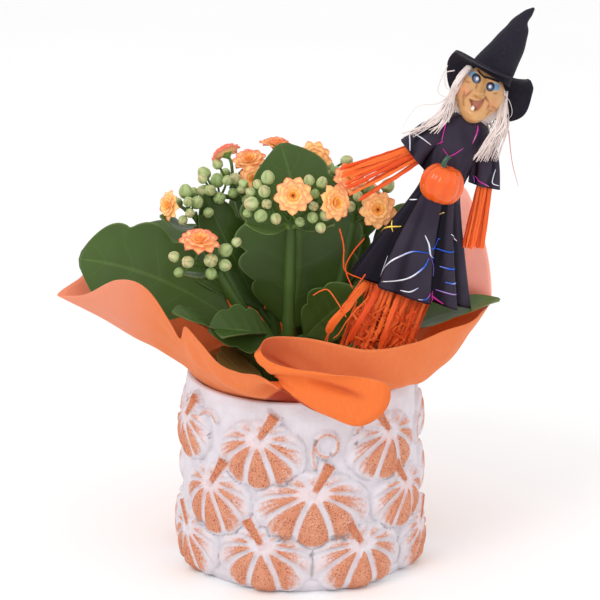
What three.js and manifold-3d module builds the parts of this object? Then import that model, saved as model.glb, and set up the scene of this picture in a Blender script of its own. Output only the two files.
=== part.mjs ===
import * as THREE from 'three';
import { mergeVertices } from 'three/addons/utils/BufferGeometryUtils.js';
import Module from 'manifold-3d';

// A potted double-flowered kalanchoe: a whitewashed terracotta pot moulded with pumpkins,
// an orange sheet of non-woven wrap, a nursery pot of soil with seven flowering stems,
// and a raffia witch on a stick. Millimetres, +Z up, the pot stands on z = 0.

// Driving dimensions of the ceramic pot
const POT_HEIGHT = 87;
const POT_INNER_RADIUS = 48;
const POT_FLOOR = 6;
const POT_COLUMNS = 36;

// Driving dimensions of what stands inside it
const SEAT_GAP = 0.3;
const WRAP_THICKNESS = 0.8;
const NURSERY_BASE_RADIUS = 31;
const NURSERY_RIM_RADIUS = 45;
const NURSERY_HEIGHT = 78;
const NURSERY_WALL = 0.9;
const SOIL_LEVEL = 79;

// Driving dimensions of the plant
const STEM_RADIUS = 3.1;
const LEAF_THICKNESS = 1.2;
const LEAF_NOTCH = 0.86;
const BLOOM_RADIUS = 8.5;
const BUD_RADIUS = 2.7;
const PEDICEL_RADIUS = 0.65;

// Driving dimensions of the witch on her stick
const STICK_RADIUS = 1.5;
const TOY_PUMPKIN_RADIUS = 9.5;
const HAT_BRIM_RADIUS = 20.5;
const HAT_CONE_RADIUS = 9.6;
const HAT_CONE_HEIGHT = 33;

const wasm = await Module();
wasm.setup();

const TURN = Math.PI * 2;
const degrees = (angle) => angle * Math.PI / 180;
const point = (list) => new THREE.Vector3(...list);
const mix = THREE.MathUtils.lerp;
const clamp = THREE.MathUtils.clamp;
const range = (count) => Array.from({ length: count }, (_, i) => i);

// The same small irregularity every time, from 0 to 1
function irregular(n) {
  const wave = Math.sin(n * 12.9898) * 43758.5453;
  return wave - Math.floor(wave);
}

// An indexed skin, turned so that its faces point out
function skin(points, triangles) {
  let volume = 0;
  const cross = new THREE.Vector3();
  for (const [a, b, c] of triangles) {
    cross.crossVectors(points[b], points[c]);
    volume += points[a].dot(cross);
  }
  const index = volume < 0 ? triangles.map(([a, b, c]) => [a, c, b]) : triangles;
  const geometry = new THREE.BufferGeometry();
  geometry.setAttribute('position', new THREE.Float32BufferAttribute(points.flatMap((p) => p.toArray()), 3));
  geometry.setIndex(index.flat());
  return geometry;
}

// Closed skin through rings of equal count, with a single point at either end. The quads
// for which crossed is true are split along their other diagonal.
function ringSkin(startPole, rings, endPole, crossed = () => false) {
  const count = rings[0].length;
  const points = [startPole, ...rings.flat(), endPole];
  const end = points.length - 1;
  const at = (ring, i) => 1 + ring * count + (i % count);
  const last = rings.length - 1;
  const triangles = [];
  for (let i = 0; i < count; i += 1) {
    triangles.push([0, at(0, i + 1), at(0, i)]);
    for (let ring = 0; ring < last; ring += 1) {
      const [a, b, c, d] = [at(ring, i), at(ring, i + 1), at(ring + 1, i + 1), at(ring + 1, i)];
      triangles.push(...(crossed(ring, i) ? [[a, b, d], [b, c, d]] : [[a, b, c], [a, c, d]]));
    }
    triangles.push([end, at(last, i), at(last, i + 1)]);
  }
  return skin(points, triangles);
}

// Closed slab: a sheet of points with its normals, each thickened by its half to either side
function slabSkin(rows) {
  const wide = rows[0].length;
  const long = rows.length;
  const face = (sign) => rows.flat().map(({ p, n, half }) => p.clone().addScaledVector(n, sign * half));
  const points = [...face(1), ...face(-1)];
  const under = wide * long;
  const at = (row, i) => row * wide + i;
  const triangles = [];
  for (let row = 0; row < long - 1; row += 1) {
    for (let i = 0; i < wide - 1; i += 1) {
      const [a, b, c, d] = [at(row, i), at(row, i + 1), at(row + 1, i + 1), at(row + 1, i)];
      triangles.push([a, b, c], [a, c, d]);
      triangles.push([a + under, c + under, b + under], [a + under, d + under, c + under]);
    }
  }
  const border = [
    ...range(wide - 1).map((i) => at(0, i)),
    ...range(long - 1).map((row) => at(row, wide - 1)),
    ...range(wide - 1).map((i) => at(long - 1, wide - 1 - i)),
    ...range(long - 1).map((row) => at(long - 1 - row, 0)),
  ];
  border.forEach((a, k) => {
    const b = border[(k + 1) % border.length];
    triangles.push([a, a + under, b + under], [a, b + under, b]);
  });
  return skin(points, triangles);
}

// Round bar along a smooth line, its radius running from one end to the other
function bar(line, startRadius, endRadius, sides, steps, grow = 0, flat = 1) {
  const curve = new THREE.CatmullRomCurve3(line.map(point));
  const frames = curve.computeFrenetFrames(steps, false);
  const rings = range(steps + 1).map((k) => {
    const centre = curve.getPointAt(k / steps);
    const radius = mix(startRadius, endRadius, k / steps) + grow;
    return range(sides).map((i) => {
      const angle = TURN * i / sides;
      return centre.clone()
        .addScaledVector(frames.normals[k], Math.cos(angle) * radius)
        .addScaledVector(frames.binormals[k], Math.sin(angle) * (flat * (radius - grow) + grow));
    });
  });
  const start = curve.getPointAt(0).addScaledVector(frames.tangents[0], -grow);
  const end = curve.getPointAt(1).addScaledVector(frames.tangents[steps], grow);
  return ringSkin(start, rings, end);
}

// Ring of points on an ellipse given by its centre and two half axes
function ellipse(centre, a, b, sides, grow = 0) {
  const [c, u, v] = [point(centre), point(a), point(b)];
  u.setLength(u.length() + grow);
  v.setLength(v.length() + grow);
  return range(sides).map((i) => c.clone()
    .addScaledVector(u, Math.cos(TURN * i / sides))
    .addScaledVector(v, Math.sin(TURN * i / sides)));
}

function solid(geometry) {
  const bare = geometry.clone();
  bare.deleteAttribute('normal');
  bare.deleteAttribute('uv');
  const merged = mergeVertices(bare, 1e-5);
  return new wasm.Manifold(new wasm.Mesh({
    numProp: 3,
    vertProperties: merged.attributes.position.array,
    triVerts: Uint32Array.from(merged.index.array),
  }));
}

function geometryOf(manifold) {
  const mesh = manifold.getMesh();
  const geometry = new THREE.BufferGeometry();
  geometry.setAttribute('position', new THREE.BufferAttribute(mesh.vertProperties, 3));
  geometry.setIndex(new THREE.BufferAttribute(mesh.triVerts, 1));
  return geometry;
}

const fuse = (parts) => parts.reduce((sum, part) => sum.add(part));

// A solid cut back from its neighbours; only its largest piece is kept
function clearOf(body, neighbours) {
  const cut = neighbours.reduce((rest, neighbour) => rest.subtract(neighbour), body);
  return cut.decompose().reduce((big, piece) => (piece.volume() > big.volume() ? piece : big));
}

const model = new THREE.Group();

function addNode(name, shape, material) {
  const geometry = shape instanceof THREE.BufferGeometry ? shape : geometryOf(shape);
  geometry.computeVertexNormals();
  const mesh = new THREE.Mesh(geometry, material);
  mesh.name = name;
  model.add(mesh);
}

const finish = (color, roughness, metalness = 0) => (
  new THREE.MeshStandardMaterial({ color, roughness, metalness, flatShading: true })
);
const whitewash = finish(0xd9b9a6, 0.9);
const nurseryPlastic = finish(0x6b3a2a, 0.6);
const peat = finish(0x3a2b1e, 1.0);
const wrapFabric = finish(0xf08a4c, 0.8);
const foliage = finish(0x3f5a2b, 0.45);
const petalOrange = finish(0xf3b288, 0.6);
const blackSatin = finish(0x26232c, 0.45);
const hatFelt = finish(0x25232a, 0.9);
const paintedSkin = finish(0xd0a269, 0.5);
const dollHair = finish(0xe9dfd6, 0.7);
const raffia = finish(0xe9571f, 0.6);
const toyPaint = finish(0xf26a22, 0.2);
const stalkPaint = finish(0x1f5a3c, 0.4);
const bamboo = finish(0xc9a873, 0.7);

// Moulded pumpkins: azimuth in degrees, height of the middle, half width, half height,
// and the way the stem leans. Three staggered rows round the pot.
const PUMPKINS = [
  [205, 67, 17, 14, 1], [251, 64, 21, 16, 1], [315, 64, 22, 15.5, -1],
  [20, 66, 26, 15, 1], [84, 64, 26, 16, -1], [148, 66, 25, 15, 1],
  [226, 39.5, 20, 17, 1], [276, 39.5, 27, 18, 1], [326, 38, 20, 15, -1],
  [24, 39, 27, 17, 1], [83, 38, 27, 17, -1], [146, 39, 27, 17, 1],
  [208, 14, 20, 15.5, -1], [253, 15, 23, 16.5, -1], [299, 14.5, 24, 16.5, -1], [343, 13, 20, 15, 1],
  [40, 14, 29, 16, -1], [106, 14, 29, 16, 1], [163, 14, 22, 16, -1],
];
const PUMPKIN_RELIEF = 5;
const PUMPKIN_RIBS = 8;
const PUMPKIN_TILT = degrees(60);
const PUMPKIN_LEVELS = [22, 62, 104].map(degrees);
const RIB_GROOVE = 1.4;
const POT_PROFILE = [[0, 51], [4, 53.4], [45, 53.4], [83, 51.8], [87, 51]];

// Radius of the plain pot wall at a height
function potWall(z) {
  const above = POT_PROFILE.findIndex(([height]) => height > z);
  const index = above < 0 ? POT_PROFILE.length - 1 : Math.max(above, 1);
  const [[z0, r0], [z1, r1]] = [POT_PROFILE[index - 1], POT_PROFILE[index]];
  return mix(r0, r1, clamp((z - z0) / (z1 - z0), 0, 1));
}

// Point on the pot given by its way round in millimetres, height, and height off the wall
function onPot(azimuth, x, z, off) {
  const radius = potWall(z) + off;
  const angle = degrees(azimuth) + x / POT_PROFILE[1][1];
  return new THREE.Vector3(radius * Math.cos(angle), radius * Math.sin(angle), z);
}

// One moulded pumpkin: a ribbed ball flattened against the wall and bent round the pot, its
// stem end tilted up out of the wall, so that its ribs run as meridians from the stem
function mouldedPumpkin([azimuth, level, wide, high]) {
  const place = (polar, turn, groove) => {
    const side = Math.sin(polar) * Math.sin(turn);
    const low = Math.sin(polar) * Math.cos(turn);
    const up = Math.cos(polar) * Math.cos(PUMPKIN_TILT) - low * Math.sin(PUMPKIN_TILT);
    const out = Math.cos(polar) * Math.sin(PUMPKIN_TILT) + low * Math.cos(PUMPKIN_TILT);
    const inset = 1 - 0.06 * groove;
    const off = out * PUMPKIN_RELIEF + 0.6 - groove * RIB_GROOVE * clamp(out + 0.2, 0, 1);
    return onPot(azimuth, side * wide * inset, level + up * high * inset, off);
  };
  const rings = PUMPKIN_LEVELS.map((polar) => range(PUMPKIN_RIBS * 2).map((i) => (
    place(polar, Math.PI * i / PUMPKIN_RIBS, i % 2)
  )));
  return solid(ringSkin(place(0, 0, 0.8), rings, place(Math.PI, 0, 0)));
}

// A pumpkin's stubby stem, a slanting ridge that rises from its crown
function mouldedStem([azimuth, level, , high, lean]) {
  const foot = onPot(azimuth, -1.5 * lean, level + high * 0.4, 2.4);
  const cut = onPot(azimuth, 7 * lean, level + high * 1.18, 1);
  return solid(bar([foot.toArray(), cut.toArray()], 3.4, 2.5, 4, 1));
}

// Pot: a turned wall that carries the moulded pumpkins, cut level under them, and hollow
function ceramicPot() {
  const turned = (outline) => {
    const profile = outline.map(([r, z]) => new THREE.Vector2(r, z));
    return solid(new THREE.LatheGeometry(profile, POT_COLUMNS).rotateX(Math.PI / 2));
  };
  const wall = turned([[0, 0], ...POT_PROFILE.map(([z, r]) => [r, z]), [0, POT_HEIGHT]]);
  const inside = turned([
    [0, POT_FLOOR], [POT_INNER_RADIUS - 3, POT_FLOOR],
    [POT_INNER_RADIUS, POT_HEIGHT + 1], [0, POT_HEIGHT + 1],
  ]);
  const ground = solid(new THREE.BoxGeometry(140, 140, 20).translate(0, 0, -9.2));
  const relief = fuse([...PUMPKINS.map(mouldedPumpkin), ...PUMPKINS.map(mouldedStem)]);
  return clearOf(relief.subtract(ground).add(wall), [inside]);
}

addNode('ceramic_pot', ceramicPot(), whitewash);

// Nursery pot: a thin tapered cup with a rolled lip and four drain holes, and its soil
const NURSERY_FLOOR = POT_FLOOR + 2 * SEAT_GAP + WRAP_THICKNESS;
const NURSERY_TOP = NURSERY_FLOOR + NURSERY_HEIGHT;

function nurseryPot(grow = 0) {
  const profile = [
    [0, NURSERY_FLOOR - grow], [NURSERY_BASE_RADIUS + grow, NURSERY_FLOOR - grow],
    [43.4 + grow, NURSERY_TOP - 7], [NURSERY_RIM_RADIUS + grow, NURSERY_TOP - 6],
    [NURSERY_RIM_RADIUS + grow, NURSERY_TOP + grow],
    [NURSERY_RIM_RADIUS - 1.6 - grow, NURSERY_TOP + grow],
    [43.4 - NURSERY_WALL - grow, NURSERY_TOP - 6.5],
    [NURSERY_BASE_RADIUS - NURSERY_WALL - grow, NURSERY_FLOOR + NURSERY_WALL + grow],
    [0, NURSERY_FLOOR + NURSERY_WALL + grow],
  ];
  const lathe = new THREE.LatheGeometry(profile.map(([r, z]) => new THREE.Vector2(r, z)), 24);
  return solid(lathe.rotateX(Math.PI / 2));
}

function drainHoles() {
  return range(4).map((k) => {
    const hole = new THREE.CylinderGeometry(4, 4, 6, 6).rotateX(Math.PI / 2);
    const angle = TURN * (k + 0.5) / 4;
    return solid(hole.translate(20 * Math.cos(angle), 20 * Math.sin(angle), NURSERY_FLOOR));
  });
}

addNode('nursery_pot', drainHoles().reduce((cup, hole) => cup.subtract(hole), nurseryPot()), nurseryPlastic);

function pottingSoil() {
  const ring = (radius, z, lumps) => range(22).map((i) => {
    const angle = TURN * i / 22;
    const lift = lumps * (irregular(i + 7 * radius) - 0.5);
    return new THREE.Vector3(radius * Math.cos(angle), radius * Math.sin(angle), z + lift);
  });
  const rings = [
    ring(NURSERY_BASE_RADIUS - NURSERY_WALL - 0.6, NURSERY_FLOOR + NURSERY_WALL + SEAT_GAP, 0),
    ring(41.9, SOIL_LEVEL - 1.5, 0),
    ring(36, SOIL_LEVEL, 1.8),
    ring(19, SOIL_LEVEL + 0.8, 2),
  ];
  const low = point([0, 0, NURSERY_FLOOR + NURSERY_WALL + SEAT_GAP]);
  return solid(ringSkin(low, rings, point([0, 0, SOIL_LEVEL + 1.6])));
}

// Wrap: a square sheet pushed down between the two pots. Each column starts at the rim at
// an azimuth and ends on the sheet's edge, and the point after the edge is the knee that it
// bends towards. The columns near 275 degrees are the front corner, folded out and down
// over the rim: they first rise towards the third point, and then fall over the knee.
const WRAP_RIM_RADIUS = 47.3;
const WRAP_COLUMNS = [
  [174, [-99, 12, 128], [-72, 4, 107]], [182, [-109, -3, 123], [-76, -2, 105]],
  [191, [-96, -14, 126], [-74, -11, 107]], [200, [-80, -24, 136], [-68, -19, 112]],
  [209, [-67, -32, 134], [-60, -27, 112]], [217, [-57, -37, 121], [-52, -33, 106]],
  [224, [-52, -40, 114], [-48, -36, 100]], [230, [-50, -46, 121], [-46, -45, 103]],
  [237, [-43, -52, 116], [-40, -51, 101]], [246, [-35, -57, 108], [-33, -57, 97]],
  [254, [-26, -60, 105], [-26, -60, 95]], [260, [-18, -62, 104], [-24, -61, 96]],
  [265, [-9, -63, 99], [-21, -62, 102], [-12, -51, 101]],
  [269, [2, -65, 92], [-15, -66, 103], [-10, -51, 103]],
  [272, [13, -68, 87], [-16, -67, 104], [-10, -52, 104]],
  [275, [24, -70, 84], [-19, -68, 105], [-12, -53, 104]],
  [277, [33, -71, 88], [-22, -67, 106], [-14, -53, 105]],
  [279, [38, -71, 95], [-26, -66, 107], [-16, -53, 105]],
  [281, [37, -71, 103], [-27, -67, 108], [-16, -53, 105]],
  [283, [25, -71, 106], [-27, -68, 108], [-16, -53, 106]],
  [285, [12, -71, 108], [-27, -68, 108], [-16, -53, 107]],
  [287, [-1, -69, 109], [-28, -66, 111], [-16, -53, 108]],
  [289, [-12, -66, 111], [-28, -62, 113], [-16, -52, 109]],
  [291, [-17, -60, 115], [-24, -58, 113], [-13, -51, 108]],
  [294, [-15, -55, 118], [-18, -53, 110], [-8, -50, 105]],
  [298, [-9, -53, 119], [-6, -51, 105]], [303, [2, -53, 118], [5, -50, 102]],
  [309, [16, -55, 116], [18, -53, 96]], [316, [31, -56, 114], [31, -53, 94]],
  [324, [46, -53, 115], [46, -49, 93]], [333, [61, -44, 118], [56, -39, 93]],
  [342, [75, -31, 119], [63, -25, 94]], [350, [84, -16, 123], [69, -12, 96]],
  [357, [86, -4, 134], [71, -4, 98]], [4, [83, 8, 152], [72, 3, 102]],
  [11, [78, 17, 168], [74, 11, 116]], [20, [75, 28, 150], [69, 22, 112]],
  [30, [70, 42, 130], [62, 35, 106]], [41, [60, 56, 116], [52, 46, 101]],
  [53, [47, 68, 112], [40, 55, 99]], [65, [32, 80, 117], [27, 64, 101]],
  [77, [17, 93, 125], [14, 72, 104]], [88, [2, 103, 131], [3, 78, 106]],
  [99, [-15, 96, 126], [-12, 74, 104]], [111, [-33, 82, 118], [-27, 66, 101]],
  [123, [-48, 69, 113], [-40, 56, 99]], [135, [-60, 56, 113], [-51, 45, 99]],
  [147, [-72, 43, 119], [-61, 34, 102]], [158, [-84, 30, 129], [-67, 22, 106]],
  [167, [-93, 20, 135], [-71, 12, 108]],
];
const WRAP_STEPS = [0, 0.27, 0.52, 0.77, 1];

function wrapSheet(grow = 0) {
  const rim = (angle, radius, z) => new THREE.Vector3(radius * Math.cos(angle), radius * Math.sin(angle), z);
  const floor = POT_FLOOR + SEAT_GAP + WRAP_THICKNESS / 2;
  const columns = WRAP_COLUMNS.map(([azimuth, edge, knee, rise = knee]) => {
    const angle = degrees(azimuth);
    const start = rim(angle, WRAP_RIM_RADIUS, POT_HEIGHT + 1.5);
    const flare = WRAP_STEPS.map((t) => start.clone().multiplyScalar((1 - t) ** 3)
      .addScaledVector(point(rise), 3 * t * (1 - t) ** 2)
      .addScaledVector(point(knee), 3 * t * t * (1 - t))
      .addScaledVector(point(edge), t ** 3));
    return [
      rim(angle, NURSERY_BASE_RADIUS + 2.2, floor),
      rim(angle, WRAP_RIM_RADIUS - 0.5, POT_HEIGHT - 8),
      ...flare,
    ];
  });
  const long = columns[0].length;
  const half = WRAP_THICKNESS / 2 + grow;
  const side = (sign) => range(long).map((row) => columns.map((column, i) => {
    const next = columns[(i + 1) % columns.length][row];
    const previous = columns[(i + columns.length - 1) % columns.length][row];
    const across = next.clone().sub(previous);
    const along = column[Math.min(row + 1, long - 1)].clone().sub(column[Math.max(row - 1, 0)]);
    return column[row].clone().addScaledVector(across.cross(along).normalize(), sign * half);
  }));
  const rings = [...side(1), ...side(-1).reverse()];
  const under = (ring) => ring >= long;
  return ringSkin(point([0, 0, floor - half]), rings, point([0, 0, floor + half]), under);
}

addNode('wrap_sheet', wrapSheet(), wrapFabric);

// Leaf along a bent midrib, from its root in the stem: a thick narrow petiole, then a blade
// whose margin is cut into round lobes and whose halves rise from the midrib by the cup.
function blade(leaf, grow = 0) {
  const { root, base, bend, tip, side, width } = leaf;
  const { lobes = 4, swell = 1.15, blunt = 0.65, cup = 0.15, bract = false } = leaf;
  const [start, middle, end] = [base, bend, tip].map(point);
  const steps = bract ? 3 : lobes * 2;
  const across = (centre, way, half, thick) => {
    const out = point(side).addScaledVector(way, -point(side).dot(way)).normalize();
    const n = way.clone().cross(out).normalize();
    return [-1, 0, 1].map((s) => ({
      p: centre.clone().addScaledVector(out, s * half).addScaledVector(n, cup * half * s * s),
      n,
      half: thick / 2 + grow,
    }));
  };
  const rows = range(steps + 1).map((k) => {
    const t = mix(0.06, 0.97, k / steps);
    const rib = start.clone().multiplyScalar((1 - t) ** 2)
      .addScaledVector(middle, 2 * t * (1 - t)).addScaledVector(end, t * t);
    const way = middle.clone().sub(start).multiplyScalar(1 - t)
      .addScaledVector(end.clone().sub(middle), t).normalize();
    const lobe = bract || k % 2 === 1 ? 1 : LEAF_NOTCH;
    const half = width * Math.sin(Math.PI * t ** swell) ** blunt * lobe;
    return across(rib, way, half + grow, LEAF_THICKNESS);
  });
  const stalk = start.clone().sub(point(root)).normalize();
  return solid(slabSkin([across(point(root), stalk, 1.7 + grow, 2.6), ...rows]));
}

// The swelling where the stalks of a fork part
function knot(fork, grow = 0) {
  return solid(new THREE.OctahedronGeometry(2 + grow).translate(...fork));
}

// A bud on its stalk: a thin neck that opens into a round ball
function bud(fork, [x, y, z, size = 1], grow = 0) {
  const centre = point([x, y, z]);
  const root = point(fork);
  const way = centre.clone().sub(root).normalize();
  const aside = new THREE.Vector3(0.3, 0.8, 0.5).cross(way).normalize();
  const other = way.clone().cross(aside);
  const radius = BUD_RADIUS * size;
  const ring = (origin, offset, r, turned) => range(4).map((i) => origin.clone()
    .addScaledVector(way, offset)
    .addScaledVector(aside, (r + grow) * Math.cos(TURN * (i + turned) / 4))
    .addScaledVector(other, (r + grow) * Math.sin(TURN * (i + turned) / 4)));
  const rings = [
    ring(centre, -0.95 * radius, PEDICEL_RADIUS, 0),
    ring(centre, -0.35 * radius, 1.08 * radius, 0),
    ring(centre, 0.4 * radius, 1.04 * radius, 0.5),
  ];
  const tip = centre.clone().addScaledVector(way, 1.15 * radius + grow);
  return solid(ringSkin(root.clone().addScaledVector(way, -1.5), rings, tip));
}

// Axes of a bloom: the way it faces and two directions across it
function bloomAxes({ face, spin = 0 }) {
  const way = point(face).normalize();
  const aside = new THREE.Vector3(0.2, 0.3, 0.9).cross(way).normalize();
  aside.applyAxisAngle(way, degrees(spin));
  return [way, aside, way.clone().cross(aside)];
}

// Double flower: eight pointed petals in each layer, the layers turned half a petal and
// rising to a small cup. Each ring holds the radius at a petal's tip, the radius between
// petals, the height, and which petals it belongs to, all in parts of the flower's radius.
const BLOOM_RINGS = [
  [1, 0.68, -0.07, 0], [0.98, 0.66, 0.02, 0], [0.44, 0.44, 0.12, 0],
  [0.75, 0.5, 0.24, 1], [0.26, 0.26, 0.3, 0], [0.44, 0.32, 0.46, 0],
];
const BLOOM_PETALS = 8;

function bloom(flower) {
  const [way, aside, other] = bloomAxes(flower);
  const radius = BLOOM_RADIUS * (flower.size ?? 1);
  const at = (x, y, z) => point(flower.at)
    .addScaledVector(aside, x * radius).addScaledVector(other, y * radius).addScaledVector(way, z * radius);
  const rings = BLOOM_RINGS.map(([tip, notch, height, turned]) => range(BLOOM_PETALS * 2).map((i) => {
    const r = (i + turned) % 2 === 0 ? tip : notch;
    const angle = TURN * i / (BLOOM_PETALS * 2);
    return at(r * Math.cos(angle), r * Math.sin(angle), height);
  }));
  return solid(ringSkin(at(0, 0, -0.34), rings, at(0, 0, 0.22)));
}

// The room a bloom needs, with the seat gap all round
function bloomRoom(flower) {
  const [way, aside, other] = bloomAxes(flower);
  const radius = BLOOM_RADIUS * (flower.size ?? 1);
  const profile = [[0.17, -0.34], [1.02, -0.1], [1.02, 0.06], [0.46, 0.47]];
  const at = (x, y, z) => point(flower.at)
    .addScaledVector(aside, x).addScaledVector(other, y).addScaledVector(way, z);
  const rings = profile.map(([r, z]) => range(10).map((i) => {
    const wide = r * radius + SEAT_GAP * 1.3;
    const high = z * radius + (z < 0 ? -SEAT_GAP : SEAT_GAP);
    return at(wide * Math.cos(TURN * i / 10), wide * Math.sin(TURN * i / 10), high);
  }));
  return solid(ringSkin(at(0, 0, -0.34 * radius - SEAT_GAP), rings, at(0, 0, 0.47 * radius + SEAT_GAP)));
}

// The seven stems, each rooted in the soil, with its leaves, its forks, and the buds and
// blooms at the ends of the forks. A leaf's side points across its blade.
const STEMS = [
  {
    line: [[-6, -13, 67], [-5, -12, 112], [-4, -12, 160]],
    leaves: [
      { root: [-5, -13, 98], base: [-9, -17, 103], bend: [-20, -30, 117], tip: [-40, -38, 117],
        side: [0.45, -0.5, -0.74], width: 13 },
      { root: [-4, -13, 104], base: [2, -15, 107], bend: [14, -19, 121], tip: [27, -26, 132],
        side: [-0.5, 0, 0.85], width: 14, lobes: 3 },
      { root: [-4, -12, 156], base: [-6, -13, 158], bend: [-15, -18, 156], tip: [-24, -21, 161],
        side: [-0.3, 0.9, 0.1], width: 6, bract: true },
      { root: [-4, -12, 156], base: [-2, -13, 158], bend: [7, -18, 156], tip: [15, -22, 161],
        side: [0.3, 0.9, 0.1], width: 6, bract: true },
    ],
    forks: [[-4, -15, 164], [-13, -18, 169], [6, -17, 168]],
    blooms: [
      { at: [-3, -28, 175], face: [0, -0.95, 0.3] },
      { at: [15, -24, 171], face: [0.62, -0.75, 0.2], spin: 10 },
    ],
    buds: [
      [-14, -20, 181, 1.1], [-15.5, -22, 175.5], [4, -17, 179, 0.9], [9.5, -17, 178, 0.95],
      [5.5, -25, 164.5, 0.9], [9, -25, 160, 0.85], [-21, -22, 170, 1.15], [-17, -26, 165.5, 1.05],
      [-14.5, -23, 170, 0.85], [-10.5, -25, 164, 0.9], [0, -23, 162, 0.8],
      [-18.4, -20, 178.2, 0.75], [-21.4, -18, 174, 0.8], [-24.7, -14, 177, 0.75],
      [-22.8, -18, 164.8, 0.75], [6.5, -19, 173.5, 0.8], [6, -23, 169, 0.8], [11, -23, 165, 0.9],
    ],
  },
  {
    line: [[-9, 3, 67], [-13, 8, 115], [-28, 17, 164]],
    leaves: [
      { root: [-10, 4, 98], base: [-3, 3, 106], bend: [6, -1, 150], tip: [-9, 12, 190],
        side: [-1, 0, 0], width: 29, swell: 0.95, blunt: 0.65, cup: 0.07, lobes: 5 },
      { root: [-12, 6, 106], base: [-17, 7, 112], bend: [-31, 9, 138], tip: [-43, 6, 168],
        side: [-0.8, -0.45, -0.4], width: 13 },
      { root: [-14, 9, 118], base: [-16, 15, 122], bend: [-28, 34, 138], tip: [-42, 48, 140],
        side: [-0.8, -0.6, 0], width: 15 },
    ],
    forks: [[-30, 15, 168], [-36, 12, 165], [-24, 17, 170]],
    blooms: [
      { at: [-33, 14, 184.5], face: [-0.4, 0.5, 0.75], size: 0.85 },
      { at: [-23, 27, 178], face: [-0.1, -0.45, 0.88], size: 0.95 },
      { at: [-21, 15, 172], face: [0.1, -0.95, 0.25], size: 0.85 },
    ],
    buds: [
      [-43, 14, 175, 1.1], [-43, 9, 168, 1.1], [-38, 10, 161, 0.9], [-37, 9, 173, 1.15],
      [-36, 5, 166, 1.05], [-30, 6, 168, 0.85], [-29, 9, 174, 0.95], [-24, 9, 164, 0.8],
      [-34, 28, 172, 0.9], [-37, 14, 179.5, 0.9], [-32.3, 3, 174.5, 0.85], [-40, 3, 170, 0.95],
      [-43.5, 6, 174.5, 0.8], [-26, 3, 170.5, 0.75],
    ],
  },
  {
    line: [[-19, 1, 67], [-22, 1, 105], [-45, 5, 154]],
    leaves: [
      { root: [-21, 1, 99], base: [-28, 0, 108], bend: [-62, 5, 134], tip: [-100, 4, 138],
        side: [-0.25, -0.5, -0.8], width: 23, swell: 1.55, blunt: 0.6, cup: 0.12 },
      { root: [-24, 1, 112], base: [-29, 5, 117], bend: [-50, 24, 140], tip: [-72, 36, 146],
        side: [-0.5, -0.8, -0.2], width: 18 },
      { root: [-44, 5, 151], base: [-47, 4, 152], bend: [-54, 0, 152], tip: [-62, -3, 160],
        side: [-0.3, -0.9, 0.1], width: 7, bract: true },
    ],
    forks: [[-47, 4, 158], [-50, 2, 161]],
    blooms: [
      { at: [-58, -1, 164], face: [-0.75, -0.6, 0.2], size: 0.8 },
    ],
    buds: [
      [-51, 4, 169, 1.15], [-46, 0, 165, 1.05], [-52, -4, 158, 0.8], [-41, 2, 160, 0.85],
      [-48, 10, 167, 0.95], [-55, 8, 163, 0.9], [-49.5, -4, 166.5, 0.85],
      [-48.8, -5, 161.5, 0.8],
    ],
  },
  {
    line: [[-16, -9, 67], [-18, -11, 100], [-37, -17, 139]],
    leaves: [
      { root: [-18, -11, 94], base: [-24, -15, 99], bend: [-38, -26, 117], tip: [-56, -33, 124],
        side: [0.5, -0.8, -0.2], width: 14 },
      { root: [-18, -11, 102], base: [-19, -16, 106], bend: [-24, -31, 117], tip: [-34, -48, 117],
        side: [0.9, -0.45, 0], width: 11, lobes: 3 },
      { root: [-17, -10, 86], base: [-19, -14, 90], bend: [-25, -26, 98], tip: [-35, -37, 99],
        side: [0.6, -0.6, -0.5], width: 13 },
      { root: [-36, -17, 136], base: [-39, -18, 137], bend: [-46, -21, 135], tip: [-54, -24, 140],
        side: [0.3, -0.9, 0], width: 5.5, bract: true },
    ],
    forks: [[-40, -19, 143], [-46, -21, 143]],
    blooms: [
      { at: [-44, -23, 153], face: [0.1, -0.35, 0.93], size: 1.1 },
    ],
    buds: [
      [-55, -22, 146, 0.9], [-49, -27, 145], [-53, -24, 139.5, 0.8], [-39, -26, 145.5, 1.15],
      [-33, -19, 148, 1.15], [-33, -23, 142.5], [-39, -24, 139, 0.95], [-28, -18, 151.5, 0.8],
    ],
  },
  {
    line: [[13, 1, 67], [15, 0, 105], [24, 3, 156]],
    leaves: [
      { root: [14, 1, 92], base: [20, -3, 97], bend: [52, -13, 114], tip: [89, -19, 126],
        side: [0, 1, 0.1], width: 13, cup: 0.2 },
      { root: [15, 0, 102], base: [21, 5, 107], bend: [44, 19, 132], tip: [70, 26, 140],
        side: [-0.4, 0.85, 0.3], width: 18 },
    ],
    forks: [[25, 0, 161], [31, -1, 160]],
    blooms: [
      { at: [34.5, -9, 164], face: [-0.05, -0.95, 0.3] },
      { at: [22, 0, 176], face: [0.1, -0.8, 0.55], size: 0.9 },
    ],
    buds: [
      [22, -7, 165, 0.95], [39, 3, 172, 1.15], [31, 5, 170], [17, -3, 166, 0.85],
      [20, 6, 163, 0.8], [37, 5, 163, 0.9], [30, 10, 163, 0.85], [25.5, -10, 170.5, 0.85],
    ],
  },
  {
    line: [[1, 20, 67], [0, 24, 110], [-3, 31, 166]],
    leaves: [
      { root: [0, 23, 94], base: [-3, 29, 99], bend: [-8, 55, 122], tip: [-13, 82, 132],
        side: [-1, 0, 0], width: 20 },
      { root: [0, 24, 104], base: [5, 28, 110], bend: [20, 44, 142], tip: [22, 56, 168],
        side: [-0.9, 0.4, 0.2], width: 20 },
      { root: [-1, 25, 116], base: [-6, 28, 121], bend: [-20, 46, 146], tip: [-24, 56, 170],
        side: [-0.9, -0.4, 0.2], width: 17 },
    ],
    forks: [[-6, 31, 173], [5, 27, 170], [-2, 40, 165]],
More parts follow.
